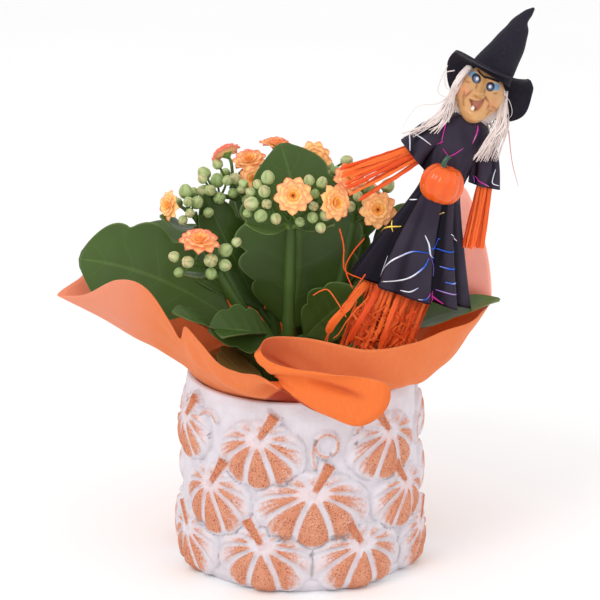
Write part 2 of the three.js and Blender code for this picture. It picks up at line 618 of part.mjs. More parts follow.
    blooms: [
      { at: [6, 22, 180], face: [0.15, -0.9, 0.4] },
      { at: [-11, 30, 185], face: [0.1, 0, 1], size: 0.9 },
      { at: [6, 46, 172], face: [0.15, 0.7, 0.7] },
      { at: [-12, 52, 168], face: [-0.25, 0.85, 0.45], size: 0.95 },
    ],
    buds: [
      [21, 22, 179], [16, 17, 175, 1.05], [13, 32, 174, 0.9], [-19, 39, 174, 0.9],
      [-3, 50, 170, 0.9], [0, 38, 176, 0.9], [11, 13.5, 175.5, 0.9],
    ],
  },
  {
    line: [[18, 17, 67], [20, 22, 105], [28, 35, 142]],
    leaves: [
      { root: [19, 20, 92], base: [25, 25, 98], bend: [44, 42, 124], tip: [58, 52, 134],
        side: [-0.65, 0.75, 0], width: 15 },
      { root: [20, 22, 104], base: [21, 28, 108], bend: [27, 50, 122], tip: [34, 74, 126],
        side: [-0.9, 0.3, 0], width: 15 },
      { root: [22, 25, 118], base: [27, 27, 122], bend: [46, 32, 144], tip: [62, 30, 160],
        side: [-0.4, 0.85, 0.2], width: 14 },
    ],
    forks: [[29, 37, 147], [25, 40, 148]],
    blooms: [
      { at: [30, 46, 160], face: [0.3, 0.6, 0.7] },
    ],
    buds: [
      [31, 33, 157, 1.05], [37, 52, 150, 0.95], [43, 44, 150, 0.9], [15, 46, 152, 0.85],
      [21, 56, 151, 0.95],
    ],
  },
];
const FLOWERS = STEMS.flatMap((stem) => stem.blooms);

const stemBar = ({ line }, grow = 0) => solid(bar(line, STEM_RADIUS, 2.3, 6, 3, grow));

// A leafy stem with its forks, buds and the stalks that carry the blooms
function leafyStem(stem, grow = 0) {
  const hub = stem.line.at(-1);
  const inner = point(stem.line.at(-2)).lerp(point(hub), 0.96).toArray();
  const nearest = (place) => stem.forks.reduce((best, fork) => (
    point(fork).distanceTo(point(place)) < point(best).distanceTo(point(place)) ? fork : best
  ));
  const stalks = stem.blooms.map((flower) => {
    const [way] = bloomAxes(flower);
    const seat = point(flower.at).addScaledVector(way, -0.2 * BLOOM_RADIUS);
    const below = seat.clone().addScaledVector(way, -4).toArray();
    return solid(bar([nearest(below), below, seat.toArray()], 0.9, 0.8, 3, 2, grow));
  });
  return fuse([
    stemBar(stem, grow),
    ...stem.leaves.map((leaf) => blade(leaf, grow)),
    ...stem.forks.map((fork) => solid(bar([inner, fork], 1.4, 1.2, 3, 1, grow))),
    ...stem.forks.map((fork) => knot(fork, grow)),
    ...stem.buds.map((place) => bud(nearest(place), place, grow)),
    ...stalks,
  ]);
}

// The witch: head, hat, hair, gown, raffia arms and legs, a toy pumpkin, and the stick
// that holds her up. Her pieces are seated on each other with the same small gap.
const STICK_LINE = [[29, -24, 67], [47, -21.5, 128], [64, -20, 188]];
const stick = (grow = 0) => solid(bar(STICK_LINE, STICK_RADIUS, STICK_RADIUS, 8, 4, grow));

const HEAD_CENTRE = [77, -22, 218];
const HEAD_TILT = degrees(20);

// Egg-shaped head with a long nose and a chin that stands forward
function head(grow = 0) {
  const [sides, levels] = [12, 7];
  const rings = range(levels - 1).map((level) => {
    const polar = Math.PI * (level + 1) / levels;
    return range(sides).map((i) => {
      const angle = TURN * i / sides;
      const local = new THREE.Vector3(
        (10.6 + grow) * Math.sin(polar) * Math.cos(angle),
        (9.6 + grow) * Math.sin(polar) * Math.sin(angle),
        (12.4 + grow) * Math.cos(polar),
      );
      const chin = Math.max(0, -local.z / 12.4 - 0.45) * Math.max(0, -local.y / 9.6);
      local.x *= 1 - 0.3 * Math.max(0, -local.z / 12.4);
      local.y -= 6 * chin;
      return local.applyAxisAngle(new THREE.Vector3(0, 1, 0), HEAD_TILT).add(point(HEAD_CENTRE));
    });
  });
  const pole = (z) => point([0, 0, z]).applyAxisAngle(new THREE.Vector3(0, 1, 0), HEAD_TILT)
    .add(point(HEAD_CENTRE));
  const face = solid(ringSkin(pole(12.4 + grow), rings, pole(-12.4 - grow)));
  const nose = bar([[77, -30, 225], [76.6, -33, 223.2], [76.2, -34.4, 221]], 2.3, 1.1, 6, 2, grow);
  return face.add(solid(nose));
}

const HAT_CENTRE = [83, -18, 227.5];
const HAT_ACROSS = [0.92, 0, -0.39];
const HAT_FORWARD = [0.03, -0.99, 0.1];
const HAT_BEND = degrees(75);
const HAT_BEND_LENGTH = 10;

// Brim: a disc whose front is level, and whose back, cut longer, bends down behind the head
// and hangs lowest at the right
function hatBrim(grow = 0) {
  const across = point(HAT_ACROSS);
  const forward = point(HAT_FORWARD);
  const up = across.clone().cross(forward).negate();
  const half = 0.5 + grow;
  const arc = HAT_BEND_LENGTH / HAT_BEND;
  const at = (r, angle, lift) => {
    const x = r * Math.cos(angle);
    const y = r * Math.sin(angle);
    const back = Math.max(0, -1.3 * y - 2.5);
    const turn = HAT_BEND * Math.min(1, back / HAT_BEND_LENGTH);
    const straight = Math.max(0, back - HAT_BEND_LENGTH);
    const behind = arc * Math.sin(turn) + straight * Math.cos(turn) + lift * Math.sin(turn);
    const drop = arc * (1 - Math.cos(turn)) + straight * Math.sin(turn) - lift * Math.cos(turn);
    const sag = 0.004 * x * x + 0.0006 * back * x * Math.max(0, x) - 0.06 * Math.max(0, y);
    return point(HAT_CENTRE).addScaledVector(across, x)
      .addScaledVector(forward, Math.max(y, -2.5 / 1.3) - behind).addScaledVector(up, -drop - sag);
  };
  const ring = (r, lift) => range(16).map((i) => at(r, TURN * i / 16, lift));
  const rim = HAT_BRIM_RADIUS + grow;
  const rings = [ring(11, half), ring(rim, half), ring(rim, -half), ring(11, -half)];
  return solid(ringSkin(at(0, 0, half), rings, at(0, 0, -half)));
}

function hat(grow = 0) {
  const base = point(HAT_CENTRE);
  const axis = point([0.5, 0.12, 0.86]).normalize();
  const lean = [base.toArray(), base.clone().addScaledVector(axis, HAT_CONE_HEIGHT * 0.55).toArray(),
    base.clone().addScaledVector(axis, HAT_CONE_HEIGHT).add(point([0.6, 0, -1.6])).toArray()];
  return hatBrim(grow).add(solid(bar(lean, HAT_CONE_RADIUS, 0.9, 10, 3, grow)));
}

// Gown: skirt, waist, bodice and the two wide sleeves as one stuffed body
function gown(grow = 0) {
  const skirt = [
    ellipse([48, -20, 131], [25, 0, -8], [0, 13, 1], 12, grow),
    ellipse([53, -20, 149], [18.5, 0, -6], [0, 10.5, 0], 12, grow),
    ellipse([59, -20, 169], [11, 0, -3.5], [0, 7.5, 0], 12, grow),
    ellipse([62, -20, 179], [8.4, 0, -2.8], [0, 6.2, 0], 12, grow),
    ellipse([67, -20, 194], [11, 0, -3], [0, 6.8, 0], 12, grow),
    ellipse([70.5, -20, 204], [11.5, 0, -3.2], [0, 6.2, 0], 12, grow),
    ellipse([73, -20, 208], [6, 0, -2], [0, 4.5, 0], 12, grow),
  ];
  const body = solid(ringSkin(point([47.5, -20, 130 - grow]), skirt, point([74, -20, 210 + grow])));
  const left = [
    ellipse([65, -20, 203], [-2, 0, 4.5], [0, 4, 0], 6, grow),
    ellipse([56, -21, 199], [-3.5, 0, 6.5], [0, 4.5, 0], 6, grow),
    ellipse([49, -22, 191.5], [-5.5, 0, 7], [0, 3.6, 0], 6, grow),
  ];
  const right = [
    ellipse([76, -20, 203], [4.5, 0, 1], [0, 4, 0], 6, grow),
    ellipse([80, -21, 192], [6, 0, -0.5], [0, 4.5, 0], 6, grow),
    ellipse([80.5, -22, 178], [6.6, 0, -1.5], [0, 3.6, 0], 6, grow),
  ];
  const leftSleeve = ringSkin(point([67, -20, 204]), left, point([48.6, -22, 191]));
  const rightSleeve = ringSkin(point([75, -20, 205]), right, point([80.5, -22, 177.6]));
  return fuse([body, solid(leftSleeve), solid(rightSleeve)]);
}

const TOY_CENTRE = [61, -35.6, 182];

// Ribbed toy pumpkin held in front of the waist
function toyPumpkin(grow = 0) {
  const [sides, levels] = [20, 6];
  const rings = range(levels - 1).map((level) => {
    const polar = Math.PI * (level + 1) / levels;
    return range(sides).map((i) => {
      const angle = TURN * i / sides;
      const rib = 1 - 0.1 * (i % 4 === 0 ? 1 : 0);
      const radius = (TOY_PUMPKIN_RADIUS * rib + grow) * Math.sin(polar);
      const z = (TOY_PUMPKIN_RADIUS * 0.9 + grow) * Math.cos(polar);
      return point([radius * Math.cos(angle), radius * Math.sin(angle), z]).add(point(TOY_CENTRE));
    });
  });
  const pole = (z) => point([0, 0, z]).add(point(TOY_CENTRE));
  const dip = TOY_PUMPKIN_RADIUS * 0.8 + grow;
  return solid(ringSkin(pole(dip), rings, pole(-dip)));
}

const toyStalk = (grow = 0) => (
  solid(bar([[61, -35, 187], [62, -34.5, 191.5], [64, -34.5, 194]], 1.9, 1.1, 6, 2, grow))
);

// A tuft of raffia: a slim core with strips that stand out of it and splay at the end
function tuft(from, to, spread, count, seed, grow = 0) {
  const [top, low] = [point(from.centre), point(to.centre)];
  const rings = [0, 0.5, 0.85].map((t) => {
    const centre = top.clone().lerp(low, t);
    const a = point(from.a).lerp(point(to.a), t).multiplyScalar(0.72);
    const b = point(from.b).lerp(point(to.b), t).multiplyScalar(0.72);
    return ellipse(centre.toArray(), a.toArray(), b.toArray(), 6, grow);
  });
  const end = top.clone().lerp(low, 0.9);
  const strips = range(count).map((k) => {
    const angle = TURN * (k + 0.6 * irregular(seed + k)) / count;
    const reach = 0.93 + 0.12 * irregular(seed + k + 40);
    const edge = (rim, share) => point(rim.a).multiplyScalar(Math.cos(angle) * share)
      .addScaledVector(point(rim.b), Math.sin(angle) * share).add(point(rim.centre));
    const start = edge(from, 0.6);
    const finish = edge(to, 1).sub(low).multiplyScalar(spread).add(top.clone().lerp(low, reach));
    const middle = start.clone().lerp(finish, 0.5)
      .add(edge(from, 1).sub(top).multiplyScalar(0.12 * irregular(seed + k + 80)));
    return solid(bar([start, middle, finish].map((p) => p.toArray()), 1.4, 0.9, 3, 2, grow, 0.6));
  });
  return fuse([solid(ringSkin(top, rings, end)), ...strips]);
}

const legs = (grow = 0) => tuft(
  { centre: [46, -21, 136], a: [15, 0, -5], b: [0, 7.5, 0] },
  { centre: [33, -27, 106], a: [17, 2, 0], b: [0, 7, 0] },
  1.05, 10, 3, grow,
);
const rightArm = (grow = 0) => tuft(
  { centre: [80.3, -22, 182], a: [3.8, 0, 0], b: [0, 2.6, 0] },
  { centre: [76, -22, 150], a: [5, 0, 0], b: [0, 3.4, 0] },
  1, 6, 11, grow,
);
const leftArm = (grow = 0) => tuft(
  { centre: [53, -22, 194.5], a: [-2.2, 0, 3.4], b: [0, 1.8, 0] },
  { centre: [21, -25.5, 180], a: [-5, 0, 5.7], b: [1.5, 3, 1.5] },
  1, 6, 23, grow,
);

// Hair: a cap behind the head with locks that fall over both shoulders
function hair() {
  const cap = ellipse([77.4, -18.5, 217], [11.8, 0, -4], [0, 7, 0], 12);
  const low = ellipse([76, -17, 208], [10.8, 0, -3.6], [0, 5, 0], 12);
  const high = ellipse([79, -17, 224], [10.5, 0, -4], [0, 6, 0], 12);
  const locks = [
    [[67, -22, 221], [62, -27.5, 212], [53, -28, 205], 1.8],
    [[66, -21, 219], [60, -27.5, 210], [47, -27.5, 202], 1.3],
    [[68, -21, 217], [64, -28.5, 209], [57, -28.5, 204], 1.4],
    [[88, -21, 216], [86, -29, 204], [78.5, -29, 192], 2.4],
    [[87, -21, 213], [84, -29, 203], [74.5, -29, 189.5], 1.9],
    [[89, -19, 214], [88.5, -27.5, 204], [84, -28, 191], 1.7],
  ];
  const crown = ringSkin(point([75.5, -17, 203]), [low, cap, high], point([79.5, -17, 227]));
  return fuse([
    solid(crown),
    ...locks.map(([from, over, to, radius]) => solid(bar([from, over, to], radius, 0.7, 4, 2, 0, 0.6))),
  ]);
}

const witchBody = clearOf(gown(), [stick(SEAT_GAP), head(SEAT_GAP), toyPumpkin(SEAT_GAP)]);
addNode('pick_stick', stick(), bamboo);
addNode('witch_gown', witchBody, blackSatin);
addNode('witch_head', head(), paintedSkin);
addNode('witch_hat', clearOf(hat(), [head(SEAT_GAP)]), hatFelt);
addNode('witch_hair', clearOf(hair(), [head(SEAT_GAP), hat(SEAT_GAP), gown(SEAT_GAP)]), dollHair);
addNode('witch_legs', clearOf(legs(), [stick(SEAT_GAP), gown(SEAT_GAP)]), raffia);
addNode('witch_right_arm', clearOf(rightArm(), [gown(SEAT_GAP)]), raffia);
addNode('witch_left_arm', clearOf(leftArm(), [gown(SEAT_GAP)]), raffia);
addNode('toy_pumpkin', clearOf(toyPumpkin(), [toyStalk(SEAT_GAP)]), toyPaint);
addNode('toy_pumpkin_stalk', toyStalk(), stalkPaint);

// Soil with a plain hole for each stem and for the stick
const holes = [...STEMS.map((stem) => stemBar(stem, SEAT_GAP)), stick(SEAT_GAP)];
addNode('potting_soil', clearOf(pottingSoil(), holes), peat);

// Each stem gives way to the pieces round it and to the stems before it
const room = [
  solid(wrapSheet(SEAT_GAP)), nurseryPot(SEAT_GAP), stick(SEAT_GAP), gown(SEAT_GAP), legs(SEAT_GAP),
  leftArm(SEAT_GAP), rightArm(SEAT_GAP), toyPumpkin(SEAT_GAP), ...FLOWERS.map(bloomRoom),
];
STEMS.forEach((stem, k) => {
  addNode(`flowering_stem_${k + 1}`, clearOf(leafyStem(stem), room), foliage);
  room.push(leafyStem(stem, SEAT_GAP));
});
FLOWERS.forEach((flower, k) => {
  addNode(`bloom_${String(k + 1).padStart(2, '0')}`, bloom(flower), petalOrange);
});

export default model;
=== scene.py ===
"""The looks of a potted double-flowered kalanchoe: a whitewashed terracotta pot moulded with
pumpkins, an orange non-woven wrap, the nursery pot with its plant, and a raffia witch on a
stick. Lengths are written in millimetres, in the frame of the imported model."""

import math

import bpy
import numpy as np
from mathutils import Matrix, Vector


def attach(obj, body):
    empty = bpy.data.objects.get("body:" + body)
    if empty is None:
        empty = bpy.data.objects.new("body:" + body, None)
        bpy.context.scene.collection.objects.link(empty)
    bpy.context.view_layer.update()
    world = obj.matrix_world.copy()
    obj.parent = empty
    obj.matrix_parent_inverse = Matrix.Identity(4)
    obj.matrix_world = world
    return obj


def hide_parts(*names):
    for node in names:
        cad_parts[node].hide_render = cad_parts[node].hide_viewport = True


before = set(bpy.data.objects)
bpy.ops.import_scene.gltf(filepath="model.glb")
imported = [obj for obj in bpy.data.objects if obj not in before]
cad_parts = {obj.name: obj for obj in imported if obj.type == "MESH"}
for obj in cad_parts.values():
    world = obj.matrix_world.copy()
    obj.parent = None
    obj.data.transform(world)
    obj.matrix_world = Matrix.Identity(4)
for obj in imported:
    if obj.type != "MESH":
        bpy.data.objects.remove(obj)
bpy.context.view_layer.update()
draw = np.random.default_rng(31)


# Ceramic pot. A slip-cast terracotta cachepot with three rows of pumpkins moulded on its
# wall. The clay is painted with lilac-white wash, which is rubbed off the ribs, and the bare
# ribs carry fine glitter. It stands on its own foot.
TURN = 2 * math.pi
MM = 0.001


def srgb(red, green, blue):
    """A colour given as it looks on a screen, 0 to 255, as Blender's linear values."""
    parts = np.array([red, green, blue]) / 255
    linear = np.where(parts < 0.04045, parts / 12.92, ((parts + 0.055) / 1.055) ** 2.4)
    return (*linear.tolist(), 1.0)


def ease(value, low, high):
    """Smooth step: 0 up to low, 1 from high on, with level ends."""
    share = np.clip((value - low) / (high - low), 0, 1)
    return share * share * (3 - 2 * share)


class Value:
    """A value in a finish. Python's operators on it add Math nodes."""

    def __init__(self, finish, socket):
        self.finish = finish
        self.socket = socket

    def joined(self, operation, first, second):
        return self.finish.node("ShaderNodeMath", {"operation": operation}, {0: first, 1: second})

    def __add__(self, other):
        return self.joined("ADD", self, other)

    def __radd__(self, other):
        return self.joined("ADD", other, self)

    def __sub__(self, other):
        return self.joined("SUBTRACT", self, other)

    def __rsub__(self, other):
        return self.joined("SUBTRACT", other, self)

    def __mul__(self, other):
        return self.joined("MULTIPLY", self, other)


class Finish:
    """A surface finish: one Principled shader with its constants, and the nodes that feed it."""

    def __init__(self, name, **constants):
        self.material = bpy.data.materials.new(name)
        self.material.use_nodes = True
        self.tree = self.material.node_tree
        self.shader = self.tree.nodes["Principled BSDF"]
        for key, value in constants.items():
            self.shader.inputs[key.replace("_", " ")].default_value = value
        self.place = self.node("ShaderNodeTexCoord", output="Object")

    def put(self, socket, value):
        if isinstance(value, Value):
            self.tree.links.new(value.socket, socket)
        else:
            socket.default_value = value

    def node(self, kind, settings=None, inputs=None, output=0):
        """Adds a node: its settings are set first, and then the values or links it takes."""
        made = self.tree.nodes.new(kind)
        for key, value in (settings or {}).items():
            setattr(made, key, value)
        for key, value in (inputs or {}).items():
            self.put(made.inputs[key], value)
        return Value(self, made.outputs[output])

    def noise(self, scale, detail, at=None):
        return self.node("ShaderNodeTexNoise", {}, {
            "Vector": at or self.place, "Scale": scale, "Detail": detail})

    def stretched(self, x, y, z):
        """The place on the object with each axis scaled, for a grain that runs one way."""
        return self.node("ShaderNodeVectorMath", {"operation": "MULTIPLY"}, {
            0: self.place, 1: (x, y, z)})

    def field(self, name):
        return self.node("ShaderNodeAttribute", {"attribute_name": name}, output="Fac")

    def ease(self, value, low, high):
        return self.node("ShaderNodeMapRange", {"interpolation_type": "SMOOTHSTEP"}, {
            0: value, 1: low, 2: high})

    def mix(self, share, first, second):
        return self.node("ShaderNodeMix", {"data_type": "RGBA"}, {
            0: share, 6: first, 7: second}, output=2)

    def colour(self, value):
        self.put(self.shader.inputs["Base Color"], value)
        return self

    def rough(self, value):
        self.put(self.shader.inputs["Roughness"], value)
        return self

    def bump(self, height, distance):
        """Relief of the given height in millimetres where the pattern is 1."""
        normal = self.node("ShaderNodeBump", {}, {
            "Height": height, "Distance": distance * MM, "Strength": 1.0}, output="Normal")
        self.put(self.shader.inputs["Normal"], normal)
        return self


def closed_skin(rings, start=None, end=None):
    """Closed skin through rings[i, k], point k of ring i, with one point closing each end,
    the middle of the end ring where none is given. The triangles are turned by the sign of
    the volume they hold, so that they face out."""
    start = rings[0].mean(0) if start is None else start
    end = rings[-1].mean(0) if end is None else end
    count, around = rings.shape[:2]
    points = np.vstack([start, rings.reshape(-1, 3), end])
    row, k = np.meshgrid(np.arange(count - 1), np.arange(around), indexing="ij")
    a = 1 + row * around + k
    b = 1 + row * around + (k + 1) % around
    sides = np.stack([a, b, b + around, a, b + around, a + around], -1).reshape(-1, 3)
    first = 1 + np.arange(around)
    after = 1 + (np.arange(around) + 1) % around
    top = (count - 1) * around
    faces = np.vstack([
        np.stack([np.zeros_like(first), after, first], -1), sides,
        np.stack([np.full_like(first, len(points) - 1), first + top, after + top], -1)])
    corner = points[faces]
    volume = np.einsum("ij,ij->", corner[:, 0], np.cross(corner[:, 1], corner[:, 2]))
    return points, faces[:, ::-1] if volume < 0 else faces


def on_circle(angle, radius, level):
    """Points at a radius and a level, all three given as arrays that fit each other."""
    angle, radius, level = np.broadcast_arrays(angle, radius, level)
    return np.stack([radius * np.cos(angle), radius * np.sin(angle), level], -1)


def ring_field(values, start, end):
    """Values at the points of a closed skin, given on its rings and at its two ends."""
    return np.concatenate([[start], np.asarray(values, float).ravel(), [end]])


def add_piece(name, parts, finish, slot, *nodes, smooth=True):
    """One object that rides on the frame and stands for the named nodes, shaded smooth or by
    face. Each part is (points in millimetres, triangles, fields), the fields being values at
    its points."""
    starts = np.cumsum([0] + [len(points) for points, _, _ in parts[:-1]])
    points = np.vstack([points for points, _, _ in parts]) * MM
    faces = np.vstack([faces + start for (_, faces, _), start in zip(parts, starts)])
    mesh = bpy.data.meshes.new(name)
    mesh.vertices.add(len(points))
    mesh.vertices.foreach_set("co", points.astype(np.float32).ravel())
    mesh.loops.add(faces.size)
    mesh.loops.foreach_set("vertex_index", faces.astype(np.int32).ravel())
    mesh.polygons.add(len(faces))
    mesh.polygons.foreach_set("loop_start", np.arange(0, faces.size, 3, dtype=np.int32))
    mesh.polygons.foreach_set("use_smooth", np.full(len(faces), smooth))
    mesh.update(calc_edges=True)
    for key in sorted({key for _, _, fields in parts for key in fields}):
        values = [np.broadcast_to(fields.get(key, 0.0), len(points)) for points, _, fields in parts]
        field = mesh.attributes.new(key, "FLOAT", "POINT")
        field.data.foreach_set("value", np.concatenate(values).astype(np.float32))
    mesh.materials.append(finish.material)
    piece = bpy.data.objects.new(name, mesh)
    bpy.context.scene.collection.objects.link(piece)
    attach(piece, "root")
    if nodes:
        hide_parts(*nodes)
    return piece


# Height and radius of the wall without its mouldings
POT_PROFILE = np.array([[0, 51], [4, 53.4], [45, 53.4], [83, 51.8], [87, 51]])
POT_HEIGHT = 87
POT_FLOOR = 6
# Radius and height of the lip and of the plain inside, down to the floor
POT_LIP = np.array([[50.6, 87.4], [49.5, 87.6], [48.5, 87.4], [48, 86.8], [47.4, 70], [46.5, 40], [45, 6]])
# Azimuth in degrees, height of the middle, half width, half height, lean of the stem
PUMPKINS = [
    [205, 67, 17, 14, 1], [251, 64, 21, 16, 1], [315, 64, 22, 15.5, -1],
    [20, 66, 26, 15, 1], [84, 64, 26, 16, -1], [148, 66, 25, 15, 1],
    [226, 39.5, 20, 17, 1], [276, 39.5, 27, 18, 1], [326, 38, 20, 15, -1],
    [24, 39, 27, 17, 1], [83, 38, 27, 17, -1], [146, 39, 27, 17, 1],
    [208, 14, 20, 15.5, -1], [253, 15, 23, 16.5, -1], [299, 14.5, 24, 16.5, -1], [343, 13, 20, 15, 1],
    [40, 14, 29, 16, -1], [106, 14, 29, 16, 1], [163, 14, 22, 16, -1],
]
PUMPKIN_RELIEF = 5
PUMPKIN_RIBS = 10
PUMPKIN_TILT = math.radians(60)
# Azimuth and height of the middle, radius, start and sweep in degrees
TENDRILS = [
    [282.6, 69, 5, -60, 340], [291, 65, 14, 150, 55], [221, 73, 5.5, 20, 260],
    [206, 84, 6, 200, 150], [352, 62, 6, 0, 250], [55, 68, 6, 90, 250],
    [118, 66, 6, -30, 240], [176, 66, 6, 60, 250], [302, 71, 5, 100, 120],
]
TENDRIL_HALF_WIDTH = 1.5


def way_round(azimuth, middle):
    """Distance round the wall, in millimetres, from an azimuth given in degrees."""
    turned = (azimuth - math.radians(middle) + math.pi) % TURN - math.pi
    return turned * POT_PROFILE[1, 1]


def moulded_pumpkin(azimuth, z, middle, level, wide, high):
    """Height of one pumpkin off the wall. It is a ball, flattened to the relief and tilted so
    that its stem end points up and out; its ribs are meridians from that end, rounded
    between narrow grooves. Returns the height and how bare of wash each rib is: least at
    the grooves, at the sides and on the lowest row, with streaks along the rib."""
    side = way_round(azimuth, middle) / wide
    up = (z - level) / high

    def on_ball(side, up):
        out = np.sqrt(np.clip(1 - side**2 - up**2, 0, None))
        pole = up * math.cos(PUMPKIN_TILT) + out * math.sin(PUMPKIN_TILT)
        low = out * math.cos(PUMPKIN_TILT) - up * math.sin(PUMPKIN_TILT)
        phase = 2 * np.abs((np.arctan2(side, low) * PUMPKIN_RIBS / TURN) % 1 - 0.5)
        return out, np.arccos(np.clip(pole, -1, 1)), low, 1 - phase

    groove = on_ball(side, up)[3]
    swell = 1 / (1 - 0.05 * groove**3)
    inside = 1 - (side * swell) ** 2 - (up * swell) ** 2
    out, polar, low, groove = on_ball(side * swell, up * swell)
    cut = ease(groove, 0.35, 1) * ease(polar, 0.1, 0.5)
    height = out * PUMPKIN_RELIEF + 0.6 - 2.0 * cut * np.clip(out + 0.25, 0, 1)
    height -= 1.3 * np.exp(-((polar / 0.28) ** 2))
    gap = (1 - groove) * math.pi / PUMPKIN_RIBS * np.sin(polar) * (wide + high) / 2
    bare = ease(gap, 0.4, 1.9) * ease(polar, 0.12, 0.34) * ease(out, 0.2, 0.7)
    covered = 0.5 + 0.35 * ease(-level, -30, -18)
    bare *= (0.45 + 0.55 * ease(low, -0.5, 0.2)) * (1 - covered * ease(np.abs(side), 0.35, 0.9))
    streak = 0.5 + 0.5 * np.sin(13 * groove + 2 * np.sin(5 * polar + 8 * side))
    bare *= 1 - 0.4 * streak * ease(np.abs(side), 0.15, 0.7)
    return np.where(inside > 0, height, -1), bare


def moulded_stem(azimuth, z, middle, level, high, lean):
    """Height of a stem off the wall: a slanting round ridge from the crown, wider and cut
    square at its upper end."""
    x = way_round(azimuth, middle)
    foot = np.array([-0.5 * lean, level + high * 0.42])
    cut = np.array([7 * lean, level + high * 1.18])
    run = cut - foot
    length = np.linalg.norm(run)
    share = ((x - foot[0]) * run[0] + (z - foot[1]) * run[1]) / length**2
    aside = np.abs((x - foot[0]) * run[1] - (z - foot[1]) * run[0]) / length
    wide = 2.3 + 1.9 * np.clip(share, 0, 1) ** 2 + 1.2 * ease(-share, -0.25, 0)
    height = 1.6 + 2.8 * np.sqrt(np.clip(1 - (aside / wide) ** 2, 0, None))
    on = (share > -0.02) & (share < 1) & (aside < wide)
    return np.where(on, height, -1), (1 - ease(aside / wide, 0.3, 0.95)) * ease(share, 0.0, 0.3)


def moulded_tendril(azimuth, z, middle, level, radius, start, sweep):
    """Height of a curl off the wall: a round cord on part of a circle."""
    x = way_round(azimuth, middle)
    y = z - level
    turned = (np.degrees(np.arctan2(y, x)) - start) % 360
    aside = np.hypot(np.hypot(x, y) - radius, 2 * np.clip(turned - sweep, 0, None) * radius / 57)
    return 0.2 + 2.0 * np.sqrt(np.clip(1 - (aside / TENDRIL_HALF_WIDTH) ** 2, 0, None)), aside


def ceramic_pot(around=560, rows=140):
    """The wall as a height over its turned profile, the highest moulding winning at each
    point, then the lip, the plain inside and the floor."""
    azimuth, z = np.meshgrid(
        np.linspace(0, TURN, around, endpoint=False), np.linspace(0, POT_HEIGHT, rows))
    highest, second = np.zeros_like(z), np.full_like(z, -1.0)
    bare, stem = np.zeros_like(z), np.zeros_like(z)
    for middle, level, wide, high, _ in PUMPKINS:
        height, share = moulded_pumpkin(azimuth, z, middle, level, wide, high)
        wins = height > highest
        second = np.where(wins, highest, np.maximum(second, height))
        bare = np.where(wins, share, bare)
        highest = np.maximum(highest, height)
    for middle, level, radius, start, sweep in TENDRILS:
        height, aside = moulded_tendril(azimuth, z, middle, level, radius, start, sweep)
        wins = (height > highest) & (aside < TENDRIL_HALF_WIDTH)
        bare = np.where(wins, 0.55 * (1 - ease(aside, 0.5, 1.1)), bare)
        second = np.where(wins, highest, second)
        highest = np.where(wins, height, highest)
    for middle, level, _, high, lean in PUMPKINS:
        height, share = moulded_stem(azimuth, z, middle, level, high, lean)
        wins = height > highest
        second = np.where(wins, highest, second)
        bare = np.where(wins, share, bare)
        stem = np.where(wins, np.maximum(share, 0.01), stem)
        highest = np.maximum(highest, height)
    # Painted shade: grey lines where one moulding meets another, for the shade in the creases between them.
    valley_shade = np.exp(-np.clip(highest - second, 0, None) / 0.6) * (second > 0.3) * np.where(stem > 0, 0.2, 1)
    off = highest * ease(z, 0, 1.2) * ease(-z, -POT_HEIGHT, -POT_HEIGHT + 1.5)
    radius = np.interp(z, POT_PROFILE[:, 0], POT_PROFILE[:, 1]) + off
    radius = np.vstack([radius, np.repeat(POT_LIP[:, :1], around, 1)])
    level = np.vstack([z, np.repeat(POT_LIP[:, 1:], around, 1)])
    rings = on_circle(azimuth[0], radius, level)
    plain = np.zeros((len(POT_LIP), around))
    fields = {
        "bare": ring_field(np.vstack([bare, plain]), 0, 0),
        "stem": ring_field(np.vstack([stem, plain]), 0, 0),
        "crease": ring_field(np.vstack([valley_shade, plain]), 0, 0),
        "raised": ring_field(np.vstack([highest, plain]), 0, 0),
    }
    return (*closed_skin(rings, [0, 0, 0], [0, 0, POT_FLOOR]), fields)


washed_clay = Finish("washed_clay", Specular_IOR_Level=0.35)
grain = washed_clay.noise(900, 4)
cloud = washed_clay.noise(160, 4)
glitter = washed_clay.node("ShaderNodeTexVoronoi", {}, {
    "Vector": washed_clay.place, "Scale": 1500.0}, output="Distance")
glint = washed_clay.ease(glitter, 0.30, 0.12) * washed_clay.ease(cloud, 0.35, 0.6)
speck = washed_clay.ease(washed_clay.noise(1300, 2), 0.54, 0.66)
bare_clay = washed_clay.mix(cloud, srgb(190, 113, 82), srgb(222, 158, 124))
bare_clay = washed_clay.mix(washed_clay.field("stem") * 0.5, bare_clay, srgb(186, 96, 50))
bare_clay = washed_clay.mix(speck * 0.8, bare_clay, srgb(138, 66, 52))
bare_clay = washed_clay.mix(glint * 0.9, bare_clay, srgb(255, 226, 206))
wash = washed_clay.mix(cloud, srgb(222, 218, 223), srgb(206, 198, 205))
wash = washed_clay.mix(
    washed_clay.ease(washed_clay.field("raised"), 1.5, 5.0)
    * washed_clay.ease(washed_clay.noise(70, 3), 0.4, 0.62) * 0.55,
    wash, srgb(226, 190, 188))
rubbed = washed_clay.ease(washed_clay.field("bare") + (grain - 0.5) * 0.7 + (cloud - 0.5) * 0.6, 0.1, 0.8)
clay_colour = washed_clay.mix(rubbed, wash, bare_clay)
# Painted shade: the creases between the mouldings are darkened grey.
clay_colour = washed_clay.mix(washed_clay.field("crease") * 0.85, clay_colour, srgb(112, 104, 108))
washed_clay.colour(clay_colour).rough(0.85 - glint * 0.45)
washed_clay.bump(grain * 0.6 + cloud + glint * 0.5, 0.25)
add_piece("pumpkin_pot", [ceramic_pot()], washed_clay, "whitewashed_terracotta", "ceramic_pot")


